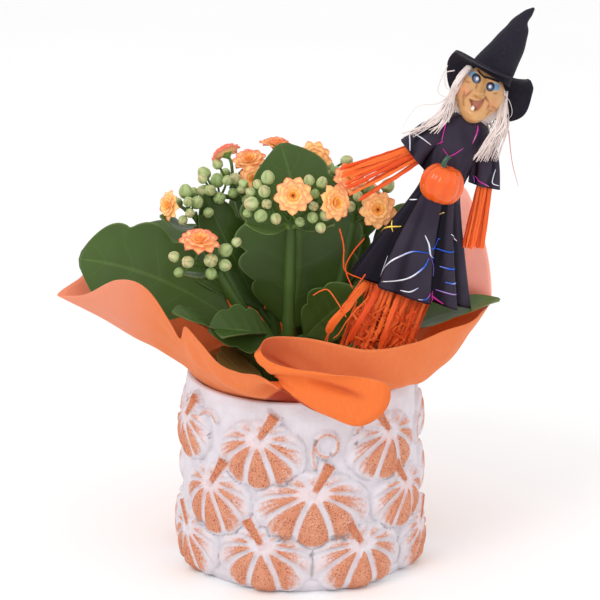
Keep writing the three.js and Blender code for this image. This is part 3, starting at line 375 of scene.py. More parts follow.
# Nursery pot. A thin injection-moulded cup of brown plastic, tapered, with a rolled lip and
# four drain holes in its floor. It stands on the wrap inside the ceramic pot.
NURSERY_FLOOR = 7.4
NURSERY_PROFILE = [
    [31, 0], [34.4, 20], [37.9, 40], [41, 58], [43.4, 71], [45, 72], [45, 75], [44.9, 77.7],
    [44.4, 78], [43.6, 77.8], [43.4, 77], [42.5, 71.5], [40.1, 58], [37, 40], [33.5, 20], [30.1, 0.9],
]
DRAIN_HOLES = 4
DRAIN_RADIUS = 4
DRAIN_DISTANCE = 20


def turned_cup(profile, lift, around=96):
    """A profile of radius and height, turned round the upright axis and closed on it."""
    angle = np.linspace(0, TURN, around, endpoint=False)
    radius, level = np.array(profile, float).T[:, :, None]
    rings = on_circle(angle, radius, level + lift)
    return closed_skin(rings, [0, 0, profile[0][1] + lift], [0, 0, profile[-1][1] + lift])


nursery_plastic = Finish("nursery_plastic", Specular_IOR_Level=0.3)
nursery_plastic.colour(nursery_plastic.mix(nursery_plastic.noise(60, 4), srgb(84, 62, 40), srgb(112, 84, 54)))
nursery_plastic.rough(0.6 + nursery_plastic.noise(300, 2) * 0.2)
nursery_plastic.bump(nursery_plastic.noise(1500, 2), 0.08)
cup = add_piece(
    "nursery_cup", [(*turned_cup(NURSERY_PROFILE, NURSERY_FLOOR), {})],
    nursery_plastic, "nursery_plastic", "nursery_pot")
drill = bpy.data.meshes.new("drain_drill")
pin_points, pin_faces = turned_cup([[DRAIN_RADIUS, -3], [DRAIN_RADIUS, 3]], NURSERY_FLOOR, 24)
pin_turns = TURN * (np.arange(DRAIN_HOLES) + 0.5) / DRAIN_HOLES
drill_points = np.vstack([
    pin_points + [DRAIN_DISTANCE * math.cos(turn), DRAIN_DISTANCE * math.sin(turn), 0] for turn in pin_turns])
drill_faces = np.vstack([pin_faces + len(pin_points) * k for k in range(DRAIN_HOLES)])
drill.from_pydata((drill_points * MM).tolist(), [], drill_faces.tolist())
drill_object = bpy.data.objects.new("drain_drill", drill)
bpy.context.scene.collection.objects.link(drill_object)
drilled = cup.modifiers.new("drain_holes", "BOOLEAN")
drilled.object = drill_object
cup.data = bpy.data.meshes.new_from_object(cup.evaluated_get(bpy.context.evaluated_depsgraph_get()))
cup.modifiers.clear()
bpy.data.objects.remove(drill_object)


# Potting soil. Damp dark peat filled to just under the lip of the nursery pot, crumbly on
# top, round the feet of the stems.
PEAT_RADIUS = 41.9
PEAT_LEVEL = 79.2
PEAT_FLOOR = 8.7
PEAT_FLOOR_RADIUS = 29.5


def potting_soil(around=150, rows=44):
    """A tapered plug whose top is a heap of rounded crumbs: the sum of two sets of waves that
    cross each other in x and y, with finer ones on top."""
    angle = np.linspace(0, TURN, around, endpoint=False)
    radius = np.linspace(PEAT_RADIUS, 1.2, rows)[:, None]
    x, y = radius * np.cos(angle), radius * np.sin(angle)
    crumbs = 0.9 * np.sin(0.55 * x + 1.3 * np.sin(0.31 * y)) * np.sin(0.5 * y + 1.1 * np.sin(0.27 * x))
    crumbs += 0.55 * np.abs(np.sin(1.7 * x + np.sin(0.9 * y)) * np.sin(1.5 * y + np.sin(1.1 * x)))
    crumbs += 0.25 * np.sin(3.9 * x + 2 * np.sin(1.3 * y)) * np.sin(3.6 * y)
    level = PEAT_LEVEL + crumbs - 1.5 * ease(radius, 36, 42)
    top = on_circle(angle, radius, level)
    low = on_circle(angle, PEAT_FLOOR_RADIUS, PEAT_FLOOR)
    return closed_skin(np.concatenate([low[None], top]), [0, 0, PEAT_FLOOR], [0, 0, 79.5])


peat = Finish("peat")
crumb = peat.noise(420, 5)
peat.colour(peat.mix(peat.ease(crumb, 0.35, 0.7), srgb(44, 30, 20), srgb(112, 84, 56)))
peat.rough(0.8 + peat.noise(900, 2) * 0.2)
peat.bump(crumb + peat.noise(1300, 3) * 0.5, 0.8)
add_piece("peat_top", [(*potting_soil(), {})], peat, "peat", "potting_soil")


# Wrap. One square sheet of orange non-woven fabric, pushed down between the two pots. It is
# pleated where the pots hold it, flares over the rim, and its four corners stand or fall; the
# front corner is folded out and down over the rim. Its outer face is the paler one.
WRAP_FLOOR_LEVEL = 6.75
WRAP_FLOOR_RADIUS = 34.6
WRAP_PLEATS = 30
WRAP_RIM_LEVEL = 88.5
WRAP_RIM_RADIUS = 47.3
# Azimuth in degrees, then the edge, the knee and, where it differs from the knee, the rise
WRAP_COLUMNS = [
    [174, [-99, 12, 128], [-72, 4, 107]], [182, [-109, -3, 123], [-76, -2, 105]],
    [191, [-96, -14, 126], [-74, -11, 107]], [200, [-80, -24, 136], [-68, -19, 112]],
    [209, [-67, -32, 134], [-60, -27, 112]], [217, [-57, -37, 121], [-52, -33, 106]],
    [224, [-52, -40, 114], [-48, -36, 100]], [230, [-50, -46, 121], [-46, -45, 103]],
    [237, [-43, -52, 116], [-40, -51, 101]], [246, [-35, -57, 108], [-33, -57, 97]],
    [254, [-26, -60, 105], [-26, -60, 95]], [260, [-18, -62, 104], [-24, -61, 96]],
    [265, [-9, -63, 99], [-21, -62, 102], [-12, -51, 101]],
    [269, [2, -65, 92], [-15, -66, 103], [-10, -51, 103]],
    [272, [13, -68, 87], [-16, -67, 104], [-10, -52, 104]],
    [275, [24, -70, 84], [-19, -68, 105], [-12, -53, 104]],
    [277, [33, -71, 88], [-22, -67, 106], [-14, -53, 105]],
    [279, [38, -71, 95], [-26, -66, 107], [-16, -53, 105]],
    [281, [37, -71, 103], [-27, -67, 108], [-16, -53, 105]],
    [283, [25, -71, 106], [-27, -68, 108], [-16, -53, 106]],
    [285, [12, -71, 108], [-27, -68, 108], [-16, -53, 107]],
    [287, [-1, -69, 109], [-28, -66, 111], [-16, -53, 108]],
    [289, [-12, -66, 111], [-28, -62, 113], [-16, -52, 109]],
    [291, [-17, -60, 115], [-24, -58, 113], [-13, -51, 108]],
    [294, [-15, -55, 118], [-18, -53, 110], [-8, -50, 105]],
    [298, [-9, -53, 119], [-6, -51, 105]], [303, [2, -53, 118], [5, -50, 102]],
    [309, [16, -55, 116], [18, -53, 96]], [316, [31, -56, 114], [31, -53, 94]],
    [324, [46, -53, 115], [46, -49, 93]], [333, [61, -44, 118], [56, -39, 93]],
    [342, [75, -31, 119], [63, -25, 94]], [350, [84, -16, 123], [69, -12, 96]],
    [357, [85, -4, 134], [71, -4, 98]], [364, [81, 8, 152], [72, 3, 102]],
    [371, [74.5, 17, 168], [73, 11, 116]], [380, [72, 28, 150], [68, 22, 112]],
    [390, [70, 42, 130], [62, 35, 106]], [401, [60, 56, 116], [52, 46, 101]],
    [413, [47, 68, 112], [40, 55, 99]], [425, [32, 80, 117], [27, 64, 101]],
    [437, [17, 93, 125], [14, 72, 104]], [448, [2, 103, 131], [3, 78, 106]],
    [459, [-15, 96, 126], [-12, 74, 104]], [471, [-33, 82, 118], [-27, 66, 101]],
    [483, [-48, 69, 113], [-40, 56, 99]], [495, [-60, 56, 113], [-51, 45, 99]],
    [507, [-72, 43, 119], [-61, 34, 102]], [518, [-84, 30, 129], [-67, 22, 106]],
    [527, [-93, 20, 135], [-71, 12, 108]],
]
WRAP_WAVES = 26
# Ends of the one sharp crease across the folded corner, as x and z
WRAP_CREASE = np.array([[4.9, 103.5], [23.6, 97.8]])
WRAP_THICKNESS = 0.5


def spline(knots, at, ring=False):
    """Catmull-Rom curve through knots, read at the places in at, one knot to a unit. A ring
    runs on from its last knot to its first."""
    knots = np.asarray(knots, float)
    at = np.asarray(at, float)
    step = np.floor(at).astype(int)
    if ring:
        a, b, c, d = (knots[(step + k) % len(knots)] for k in (-1, 0, 1, 2))
    else:
        step = np.clip(step, 0, len(knots) - 2)
        ends = 2 * knots[:1] - knots[1:2], 2 * knots[-1:] - knots[-2:-1]
        longer = np.concatenate([ends[0], knots, ends[1]])
        a, b, c, d = (longer[step + k] for k in range(4))
    u = (at - step).reshape(at.shape + (1,) * (knots.ndim - 1))
    return b + 0.5 * u * (c - a + u * (2 * a - 5 * b + 4 * c - d + u * (3 * (b - c) + d - a)))


def unit(vectors):
    return vectors / np.maximum(np.linalg.norm(vectors, axis=-1, keepdims=True), 1e-9)


def wrap_sheet(columns=432, flare_rows=40, tuck_rows=16):
    """The sheet by column round the pot and row from its middle to its edge. In the pot it
    follows the gap with pleats that die out towards the rim; beyond it each column is a
    cubic curve from the rim by a rise and a knee to the edge, and the columns run into each
    other smoothly. Soft waves lift it along its normal. Its fields are 1 on the inner face,
    on the standing corners where a pale glow is painted for light that shines through, and
    where shade is painted under, inside and across the folded corner."""
    at = np.linspace(0, len(WRAP_COLUMNS), columns, endpoint=False)
    azimuth = [column[0] for column in WRAP_COLUMNS]
    angle = np.radians(np.interp(at, np.arange(len(azimuth) + 1), azimuth + [azimuth[0] + 360]))
    edge = spline([column[1] for column in WRAP_COLUMNS], at, ring=True)
    knee = spline([column[2] for column in WRAP_COLUMNS], at, ring=True)
    rise = spline([column[-1] for column in WRAP_COLUMNS], at, ring=True)
    t = np.linspace(0, 1, flare_rows)[:, None, None]
    start = on_circle(angle, WRAP_RIM_RADIUS, WRAP_RIM_LEVEL)
    flare = start * (1 - t) ** 3 + 3 * rise * t * (1 - t) ** 2 + 3 * knee * t**2 * (1 - t) + edge * t**3
    share = np.linspace(0, 1, tuck_rows)[:, None]
    pleat = (3.6 * (1 - share) ** 1.3 + 0.15) * np.sin(WRAP_PLEATS * angle + 0.8 * np.sin(3 * angle))
    tuck = on_circle(angle, WRAP_FLOOR_RADIUS + 12.1 * share + pleat, WRAP_FLOOR_LEVEL + 72.2 * share)
    base = on_circle(angle, np.array([[12.0], [24.0], [31.0]]), WRAP_FLOOR_LEVEL)
    sheet = np.concatenate([base, tuck, flare])
    beyond_rim = np.arange(len(sheet))[:, None] - len(base) - tuck_rows
    near_rim = np.exp(-((beyond_rim[..., None] / 2.5) ** 2))
    for _ in range(6):
        evened = sheet.copy()
        evened[1:-1] = (sheet[:-2] + 2 * sheet[1:-1] + sheet[2:]) / 4
        sheet = sheet + near_rim * (evened - sheet)
    over = np.abs(np.hypot(sheet[..., 0], sheet[..., 1]) - 49.6)
    lowest = POT_HEIGHT + 1.5 - 2.5 * np.clip(over - 1.8, 0, None)
    sheet[..., 2] = np.where(beyond_rim >= 0, np.maximum(sheet[..., 2], lowest), sheet[..., 2])
    across = np.roll(sheet, -1, 1) - np.roll(sheet, 1, 1)
    normal = unit(np.cross(across, np.gradient(sheet, axis=0)))
    row = np.clip(beyond_rim, 0, None) / flare_rows
    column = at[None]
    waves = 0.5 * np.sin(2.1 * column + 3 * row) * np.sin(9 * row + 0.8 * column)
    half_round = len(WRAP_COLUMNS) / 2
    for middle, lean, wide, high in zip(
            draw.uniform(0, len(WRAP_COLUMNS), WRAP_WAVES), draw.uniform(-3, 3, WRAP_WAVES),
            draw.uniform(0.16, 0.5, WRAP_WAVES), draw.uniform(-0.8, 0.8, WRAP_WAVES)):
        away = (column - middle - lean * row + half_round) % len(WRAP_COLUMNS) - half_round
        waves = waves + high * np.exp(-((away / wide) ** 2))
    sheet = sheet + normal * (waves * ease(row, 0.05, 0.5))[..., None]
    run = WRAP_CREASE[1] - WRAP_CREASE[0]
    flat = sheet[..., [0, 2]] - WRAP_CREASE[0]
    along = np.clip(flat @ run / (run @ run), 0, 1)
    away = np.linalg.norm(flat - along[..., None] * run, axis=-1)
    dent = 3.0 * np.exp(-((away / 1.7) ** 2)) * np.sin(math.pi * (0.1 + 0.85 * along)) ** 0.7
    front = (sheet[..., 1] < -58) & (row > 0.3)
    sheet[..., 1] += np.where(front, dent, 0)
    sides = [sheet + side * WRAP_THICKNESS / 2 * normal for side in (1, -1)]
    rings = np.concatenate([sides[0], sides[1][::-1]])
    inner = np.concatenate([np.zeros(sheet.shape[:2]), np.ones(sheet.shape[:2])])
    # Painted backlight: the standing right back corner, and more weakly the left side, are given a pale pink
    # colour and a glow, for light that shines through the sheet.
    thin = ease(sheet[..., 0], 66, 74) * ease(sheet[..., 2], 112, 132) * ease(sheet[..., 1], -28, -8)
    thin = np.maximum(thin, 0.4 * ease(-sheet[..., 0], 58, 84))
    x, y, z = np.moveaxis(sheet, -1, 0)
    seen_low = z + 0.33 * (y + 50)
    # Painted shade: dark red under the folded corner, in the loop where the sheet turns, and along the crease
    # across the corner.
    shade_under_flap = (1 - ease(np.abs(x + 8) - 1.45 * (94.6 - seen_low), -0.6, 0.6)) * (y < -44)
    shade_in_loop = 0.55 * ease(-x, -8, 17) * ease(z, 100, 104) * ease(x, -20, -17) * (y > -60) * (y < -46)
    shade_in_crease = 0.7 * np.exp(-((away / 1.5) ** 2)) * along * front
    deep = np.maximum(np.maximum(shade_under_flap, shade_in_loop), shade_in_crease)
    half = WRAP_THICKNESS / 2
    skin = closed_skin(rings, [0, 0, WRAP_FLOOR_LEVEL + half], [0, 0, WRAP_FLOOR_LEVEL - half])
    fields = {
        "inner": ring_field(inner, 0, 1),
        "thin": ring_field(np.concatenate([thin, thin[::-1]]), 0, 0),
        "deep": ring_field(np.concatenate([deep, deep[::-1]]), 0, 0),
    }
    return (*skin, fields)


wrap_fabric = Finish(
    "wrap_fabric", Subsurface_Weight=0.3, Subsurface_Scale=0.003, Sheen_Weight=0.05,
    Specular_IOR_Level=0.2, Emission_Strength=0.45)
wrap_fabric.shader.inputs["Subsurface Radius"].default_value = (1.0, 0.45, 0.25)
fibres = wrap_fabric.noise(700, 4, wrap_fabric.stretched(1, 1, 0.35))
bonds = wrap_fabric.node("ShaderNodeTexVoronoi", {}, {
    "Vector": wrap_fabric.place, "Scale": 1100.0}, output="Distance")
cloudy = wrap_fabric.noise(45, 3)
face_colour = wrap_fabric.mix(wrap_fabric.field("inner"), srgb(222, 118, 68), srgb(228, 114, 52))
# Painted backlight: pale pink where light shines through the sheet.
face_colour = wrap_fabric.mix(wrap_fabric.field("thin"), face_colour, srgb(228, 164, 150))
face_colour = wrap_fabric.mix(wrap_fabric.ease(fibres, 0.45, 0.75) * 0.06, face_colour, srgb(255, 180, 130))
face_colour = wrap_fabric.mix(wrap_fabric.ease(cloudy, 0.5, 0.8) * 0.2, face_colour, srgb(214, 98, 46))
# Painted shade in and under the folded corner.
wrap_fabric.colour(wrap_fabric.mix(wrap_fabric.field("deep") * 0.9, face_colour, srgb(156, 54, 36)))
# Painted glow: the backlit parts give off a pale pink light of their own.
lit_through = wrap_fabric.ease(wrap_fabric.field("thin"), 0.42, 1.0)
shone_through = wrap_fabric.mix(lit_through, srgb(0, 0, 0), srgb(232, 158, 146))
wrap_fabric.put(wrap_fabric.shader.inputs["Emission Color"], shone_through)
wrap_fabric.rough(0.75 + fibres * 0.2)
wrap_fabric.bump(fibres * 0.7 + wrap_fabric.ease(bonds, 0.15, 0.4) * 0.3, 0.09)
wrap = add_piece("non_woven_wrap", [wrap_sheet()], wrap_fabric, "wrap_fabric", "wrap_sheet")


# Flowering stems. Seven fleshy green stems rooted in the peat. Each carries thick waxy leaves
# with round-lobed margins on short stalks, and forks at its top into the thin stalks of its
# buds and blooms. A leaf is given by its root, a curve from base by bend to tip, the way
# across its blade, and its half width.
STEMS = [
    {
        "line": [[-6, -13, 67], [-5, -12, 112], [-4, -12, 160]],
        "leaves": [
            {"root": [-5, -13, 98], "base": [-9, -17, 103], "bend": [-20, -30, 117], "tip": [-40, -38, 117],
                "side": [0.45, -0.5, -0.74], "width": 13},
            {"root": [-4, -13, 104], "base": [2, -15, 107], "bend": [14, -19, 121], "tip": [27, -26, 132],
                "side": [-0.5, 0, 0.85], "width": 14, "lobes": 3, "tone": 0.0},
            {"root": [-4, -12, 156], "base": [-6, -13, 158], "bend": [-15, -18, 156], "tip": [-24, -21, 161],
                "side": [-0.3, 0.9, 0.1], "width": 6, "bract": True},
            {"root": [-4, -12, 156], "base": [-2, -13, 158], "bend": [7, -18, 156], "tip": [15, -22, 161],
                "side": [0.3, 0.9, 0.1], "width": 6, "bract": True},
        ],
        "forks": [[-4, -15, 164], [-13, -18, 169], [6, -17, 168]],
        "blooms": [
            {"at": [-3, -28, 175], "face": [0, -0.95, 0.3]},
            {"at": [15, -24, 171], "face": [0.62, -0.75, 0.2], "spin": 10},
        ],
        "buds": [
            [-14, -20, 181, 1.1], [-15.5, -22, 175.5], [4, -17, 179, 0.9], [9.5, -17, 178, 0.95],
            [5.5, -25, 164.5, 0.9], [9, -25, 160, 0.85], [-21, -22, 170, 1.15], [-17, -26, 165.5, 1.05],
            [-14.5, -23, 170, 0.85], [-10.5, -25, 164, 0.9], [0, -23, 162, 0.8],
            [-18.4, -20, 178.2, 0.75], [-21.4, -18, 174, 0.8], [-24.7, -14, 177, 0.75],
            [-22.8, -18, 164.8, 0.75], [6.5, -19, 173.5, 0.8], [6, -23, 169, 0.8], [11, -23, 165, 0.9],
        ],
    },
    {
        "line": [[-9, 3, 67], [-13, 8, 115], [-28, 17, 164]],
        "leaves": [
            {"root": [-10, 4, 98], "base": [-5, 3, 106], "bend": [6, -1, 150], "tip": [-9, 12, 190],
                "side": [-1, 0, 0], "width": 29, "swell": 0.95, "blunt": 0.65, "cup": 0.07, "lobes": 5},
            {"root": [-12, 6, 106], "base": [-17, 7, 112], "bend": [-31, 9, 138], "tip": [-43, 6, 168],
                "side": [-0.8, -0.45, -0.4], "width": 13},
            {"root": [-14, 9, 118], "base": [-16, 15, 122], "bend": [-28, 34, 138], "tip": [-42, 48, 140],
                "side": [-0.8, -0.6, 0], "width": 15},
        ],
        "forks": [[-30, 15, 168], [-36, 12, 165], [-24, 17, 170]],
        "blooms": [
            {"at": [-33, 14, 184.5], "face": [-0.4, 0.5, 0.75], "size": 0.85},
            {"at": [-23, 27, 178], "face": [-0.1, -0.45, 0.88], "size": 0.95},
            {"at": [-21, 15, 172], "face": [0.1, -0.95, 0.25], "size": 0.85},
        ],
        "buds": [
            [-43, 14, 175, 1.1], [-43, 9, 168, 1.1], [-38, 10, 161, 0.9], [-37, 9, 173, 1.15],
            [-36, 5, 166, 1.05], [-30, 6, 168, 0.85], [-29, 9, 174, 0.95], [-24, 9, 164, 0.8],
            [-34, 28, 172, 0.9], [-37, 14, 179.5, 0.9], [-32.3, 3, 174.5, 0.85], [-40, 3, 170, 0.95],
            [-43.5, 6, 174.5, 0.8], [-26, 3, 170.5, 0.75],
        ],
    },
    {
        "line": [[-19, 1, 67], [-22, 1, 105], [-45, 5, 154]],
        "leaves": [
            {"root": [-21, 1, 99], "base": [-28, 0, 108], "bend": [-62, 5, 134], "tip": [-100, 4, 138],
                "side": [-0.25, -0.5, -0.8], "width": 23, "swell": 1.55, "blunt": 0.6, "cup": 0.12},
            {"root": [-24, 1, 112], "base": [-29, 5, 117], "bend": [-50, 24, 140], "tip": [-72, 36, 146],
                "side": [-0.5, -0.8, -0.2], "width": 18},
            {"root": [-44, 5, 151], "base": [-47, 4, 152], "bend": [-54, 0, 152], "tip": [-62, -3, 160],
                "side": [-0.3, -0.9, 0.1], "width": 7, "bract": True},
        ],
        "forks": [[-47, 4, 158], [-50, 2, 161]],
        "blooms": [
            {"at": [-58, -1, 164], "face": [-0.75, -0.6, 0.2], "size": 0.8},
        ],
        "buds": [
            [-51, 4, 169, 1.15], [-46, 0, 165, 1.05], [-52, -4, 158, 0.8], [-41, 2, 160, 0.85],
            [-48, 10, 167, 0.95], [-55, 8, 163, 0.9], [-49.5, -4, 166.5, 0.85], [-48.8, -5, 161.5, 0.8],
        ],
    },
    {
        "line": [[-16, -9, 67], [-18, -11, 100], [-37, -17, 139]],
        "leaves": [
            {"root": [-18, -11, 94], "base": [-24, -15, 99], "bend": [-38, -26, 117], "tip": [-56, -33, 124],
                "side": [0.5, -0.8, -0.2], "width": 14},
            {"root": [-18, -11, 102], "base": [-19, -16, 106], "bend": [-24, -31, 117],
                "tip": [-34, -48, 117], "side": [0.9, -0.45, 0], "width": 11, "lobes": 3, "tone": 0.0},
            {"root": [-17, -10, 86], "base": [-19, -14, 90], "bend": [-25, -26, 98], "tip": [-35, -37, 99],
                "side": [0.6, -0.6, -0.5], "width": 13, "old": 1.0},
            {"root": [-36, -17, 136], "base": [-39, -18, 137], "bend": [-46, -21, 135],
                "tip": [-54, -24, 140], "side": [0.3, -0.9, 0], "width": 5.5, "bract": True},
        ],
        "forks": [[-40, -19, 143], [-46, -21, 143]],
        "blooms": [
            {"at": [-44, -23, 153], "face": [0.1, -0.35, 0.93], "size": 1.1},
        ],
        "buds": [
            [-55, -22, 146, 0.9], [-49, -27, 145], [-53, -24, 139.5, 0.8], [-39, -26, 145.5, 1.15],
            [-33, -19, 148, 1.15], [-33, -23, 142.5], [-39, -24, 139, 0.95], [-28, -18, 151.5, 0.8],
        ],
    },
    {
        "line": [[13, 1, 67], [15, 0, 105], [24, 3, 156]],
        "leaves": [
            {"root": [14, 1, 92], "base": [20, -3, 97], "bend": [52, -13, 114], "tip": [89, -19, 126],
                "side": [0, 1, 0.1], "width": 13, "cup": 0.2},
            {"root": [15, 0, 102], "base": [21, 5, 107], "bend": [44, 19, 132], "tip": [70, 26, 140],
                "side": [-0.4, 0.85, 0.3], "width": 18},
        ],
        "forks": [[25, 0, 161], [31, -1, 160]],
        "blooms": [
            {"at": [34.5, -9, 164], "face": [-0.05, -0.95, 0.3]},
            {"at": [22, 0, 176], "face": [0.1, -0.8, 0.55], "size": 0.9},
        ],
        "buds": [
            [22, -7, 165, 0.95], [39, 3, 172, 1.15], [31, 5, 170], [17, -3, 166, 0.85],
            [20, 6, 163, 0.8], [37, 5, 163, 0.9], [30, 10, 163, 0.85], [25.5, -10, 170.5, 0.85],
        ],
    },
    {
        "line": [[1, 20, 67], [0, 24, 110], [-3, 31, 166]],
        "leaves": [
            {"root": [0, 23, 94], "base": [-3, 29, 99], "bend": [-8, 55, 122], "tip": [-13, 82, 132],
                "side": [-1, 0, 0], "width": 20},
            {"root": [0, 24, 104], "base": [5, 28, 110], "bend": [20, 44, 142], "tip": [22, 56, 168],
                "side": [-0.9, 0.4, 0.2], "width": 20},
            {"root": [-1, 25, 116], "base": [-6, 28, 121], "bend": [-20, 46, 146], "tip": [-24, 56, 170],
                "side": [-0.9, -0.4, 0.2], "width": 17},
        ],
        "forks": [[-6, 31, 173], [5, 27, 170], [-2, 40, 165]],
        "blooms": [
            {"at": [6, 22, 180], "face": [0.15, -0.9, 0.4]},
            {"at": [-11, 30, 185], "face": [0.1, 0, 1], "size": 0.9},
            {"at": [6, 46, 172], "face": [0.15, 0.7, 0.7]},
            {"at": [-12, 52, 168], "face": [-0.25, 0.85, 0.45], "size": 0.95},
        ],
        "buds": [
            [21, 22, 179], [16, 17, 175, 1.05], [13, 32, 174, 0.9], [-19, 39, 174, 0.9],
            [-3, 50, 170, 0.9], [0, 38, 176, 0.9], [11, 13.5, 175.5, 0.9],
        ],
    },
    {
        "line": [[18, 17, 67], [20, 22, 105], [28, 35, 142]],
        "leaves": [
            {"root": [19, 20, 92], "base": [25, 25, 98], "bend": [44, 42, 124], "tip": [58, 52, 134],
                "side": [-0.65, 0.75, 0], "width": 15},
            {"root": [20, 22, 104], "base": [21, 28, 108], "bend": [27, 50, 122], "tip": [34, 74, 126],
                "side": [-0.9, 0.3, 0], "width": 15},
            {"root": [22, 25, 118], "base": [27, 27, 122], "bend": [46, 32, 144], "tip": [62, 30, 160],
                "side": [-0.4, 0.85, 0.2], "width": 14},
        ],
        "forks": [[29, 37, 147], [25, 40, 148]],
        "blooms": [
            {"at": [30, 46, 160], "face": [0.3, 0.6, 0.7]},
        ],
        "buds": [
            [31, 33, 157, 1.05], [37, 52, 150, 0.95], [43, 44, 150, 0.9], [15, 46, 152, 0.85],
            [21, 56, 151, 0.95],
        ],
    },
]
STEM_RADIUS = 3.1
LEAF_NOTCH = 0.81
BLOOM_RADIUS = 8.5
BUD_RADIUS = 2.7


def bar(path, radius, sides=12, flat=1.0, turn=0.0):
    """Closed bar along path (n, 3): at each point a ring of the given radius, one number or
    n of them, lies across the path on two directions at right angles, the second scaled by
    flat. turn twists the ring along the bar."""
    path = np.asarray(path, float)
    way = unit(np.gradient(path, axis=0))
    least = np.eye(3)[np.argmin(np.abs(path[-1] - path[0]))]
    aside = unit(np.cross(way, least))
    other = np.cross(way, aside)
    angle = np.linspace(0, TURN, sides, endpoint=False) + turn * np.linspace(0, 1, len(path))[:, None]
    radius = np.broadcast_to(radius, len(path))[:, None, None]
    rings = path[:, None] + radius * (
        np.cos(angle)[..., None] * aside[:, None] + flat * np.sin(angle)[..., None] * other[:, None])
    return closed_skin(rings, path[0], path[-1])


def curved(knots, count):
    """count points along the Catmull-Rom curve through knots."""
    return spline(knots, np.linspace(0, len(knots) - 1, count))


def leaf(
        root, base, bend, tip, side, width, lobes=4, swell=1.15, blunt=0.65, cup=0.15, bract=False,
        old=0.0, tone=None):
    """A leaf as rings round its midrib, a quadratic curve. A ring is a thin lens across the
    blade: its half width is a power of a sine along the blade times the lobes, its halves
    rise from the midrib by the cup, a channel runs along the midrib above and a rib below."""
    root, base, bend, tip, side = (np.array(place, float) for place in (root, base, bend, tip, side))
    rows, around = (24, 20) if bract else (66, 40)
    t = np.linspace(0.02, 0.985, rows)[:, None]
    blade = base * (1 - t) ** 2 + 2 * bend * t * (1 - t) + tip * t**2
    stalk = root + (base - root) * np.linspace(0, 0.9, 6)[:, None]
    rib = np.vstack([stalk, blade])
    t = np.concatenate([np.linspace(-0.12, 0, 6), t[:, 0]])
    way = unit(np.gradient(rib, axis=0))
    out = unit(side - way * (way @ side)[:, None])
    normal = np.cross(way, out)
    upward = 1 if (normal.mean(0) @ [0, -0.25, 1]) > 0 else -1
    share = np.clip((t - 0.06) / 0.91, 0, 1)
    lobed = 1 if bract else 1 - (1 - LEAF_NOTCH) * (1 - np.abs(np.sin(math.pi * lobes * share)) ** 0.75)
    half = width * np.sin(math.pi * np.clip(t, 1e-3, 1) ** swell) ** blunt * lobed
    half = np.maximum(half, 1.8 * ease(-t, -0.2, 0))[:, None]
    t = t[:, None]
    turn = np.linspace(0, TURN, around, endpoint=False)
    u = np.cos(turn)
    v = np.sin(turn)
    upper = np.sign(v) * upward
    thick = 0.45 + 0.85 * ease(-t, -0.3, 0) + 0.25 * (1 - u**2)
    keel = ease(t, 0, 0.1) * (1 - 0.6 * t) * np.exp(-((u * half / 1.3) ** 2))
    lift = v * thick + cup * half * u**2
    lift = lift - upward * keel * np.where(upper > 0, 0.45, 0.8)
    wave = 0 if bract else 0.05 * half * u**2 * np.sin(8 * t + 1.5 * u + width)
    quilt = 0.07 * np.sin(TURN * (7 * t - 0.9 * np.abs(u))) * np.sqrt(1 - u**2) * ease(t, 0.05, 0.3)
    lift = lift + wave + quilt * (half > 4)
    rings = rib[:, None] + out[:, None] * (u * half)[..., None] + normal[:, None] * lift[..., None]
    same = np.ones_like(lift)
    fields = {
        "across": ring_field(u * same, 0, 0),
        "along": ring_field(t * same, -0.12, 1),
        "upper": ring_field(0.5 + 0.5 * np.clip(3 * v * upward, -1, 1) * same, 0.5, 0.5),
        "blade": ring_field(ease(t, -0.02, 0.12) * same, 0, 1),
        "tone": draw.uniform(0, 1) if tone is None else tone,
        "old": old,
    }
    return (*closed_skin(rings, root, rib[-1] + way[-1] * 0.8), fields)


def on_axes(origin, axes, x, y, z):
    """Points at x, y and z along three axes from an origin."""
    return origin + x[..., None] * axes[0] + y[..., None] * axes[1] + z[..., None] * axes[2]


def bloom_axes(face, spin=0):
    """The way a bloom faces and two directions across it, turned by spin degrees."""
    way = unit(np.array(face, float))
    aside = unit(np.cross([0.2, 0.3, 0.9], way))
    other = np.cross(way, aside)
    turn = math.radians(spin)
    turned = aside * math.cos(turn) + other * math.sin(turn)
    return way, turned, other * math.cos(turn) - aside * math.sin(turn)


def nearest(places, to):
    """The one of places that is nearest to a point."""
    places = np.asarray(places, float)
    return places[np.argmin(np.linalg.norm(places - to, axis=1))]


def bloom_stalk(forks, at, face, spin=0, size=1):
    """A bloom's stalk, from its fork to below the flower, then straight up into it, and the
    green cup of four pointed sepals that holds the petals."""
    way, aside, other = bloom_axes(face, spin)
    seat = np.array(at, float) - way * 0.2 * BLOOM_RADIUS
    below = seat - way * 4
    stalk = bar(curved([nearest(forks, below), below, seat], 14), np.linspace(0.75, 0.7, 14), 8)
    turn = np.linspace(0, TURN, 16, endpoint=False)
    profile = np.array([[0.7, -3.4], [1.3, -2.6], [2.1, -1.7], [2.7, -0.6], [2.2, -0.2]])[:, :, None]
    pointed = 1 + 0.28 * np.cos(4 * turn) * np.linspace(0, 1, 5)[:, None]
    radius = profile[:, 0] * pointed * size
    level = (profile[:, 1] + 0 * turn) * size
    rings = on_axes(np.array(at), (aside, other, way), radius * np.cos(turn), radius * np.sin(turn), level)
    sepals = closed_skin(rings)
    return [(*stalk, {"tone": 0.4}), (*sepals, {"tone": 0.8})]


def bud_stalk(forks, bud):
    """A thin stalk from the nearest fork to the foot of a bud, sagging a little."""
    centre = np.array(bud[:3], float)
    fork = nearest(forks, centre)
    way = unit(centre - fork)
    size = bud[3] if len(bud) > 3 else 1
    sag = np.array([0, 0, -0.8])
    path = curved([fork - way, (fork + centre) / 2 + sag, centre - way * 0.8 * BUD_RADIUS * size], 10)
    return (*bar(path, 0.55, 6), {"tone": 0.5})


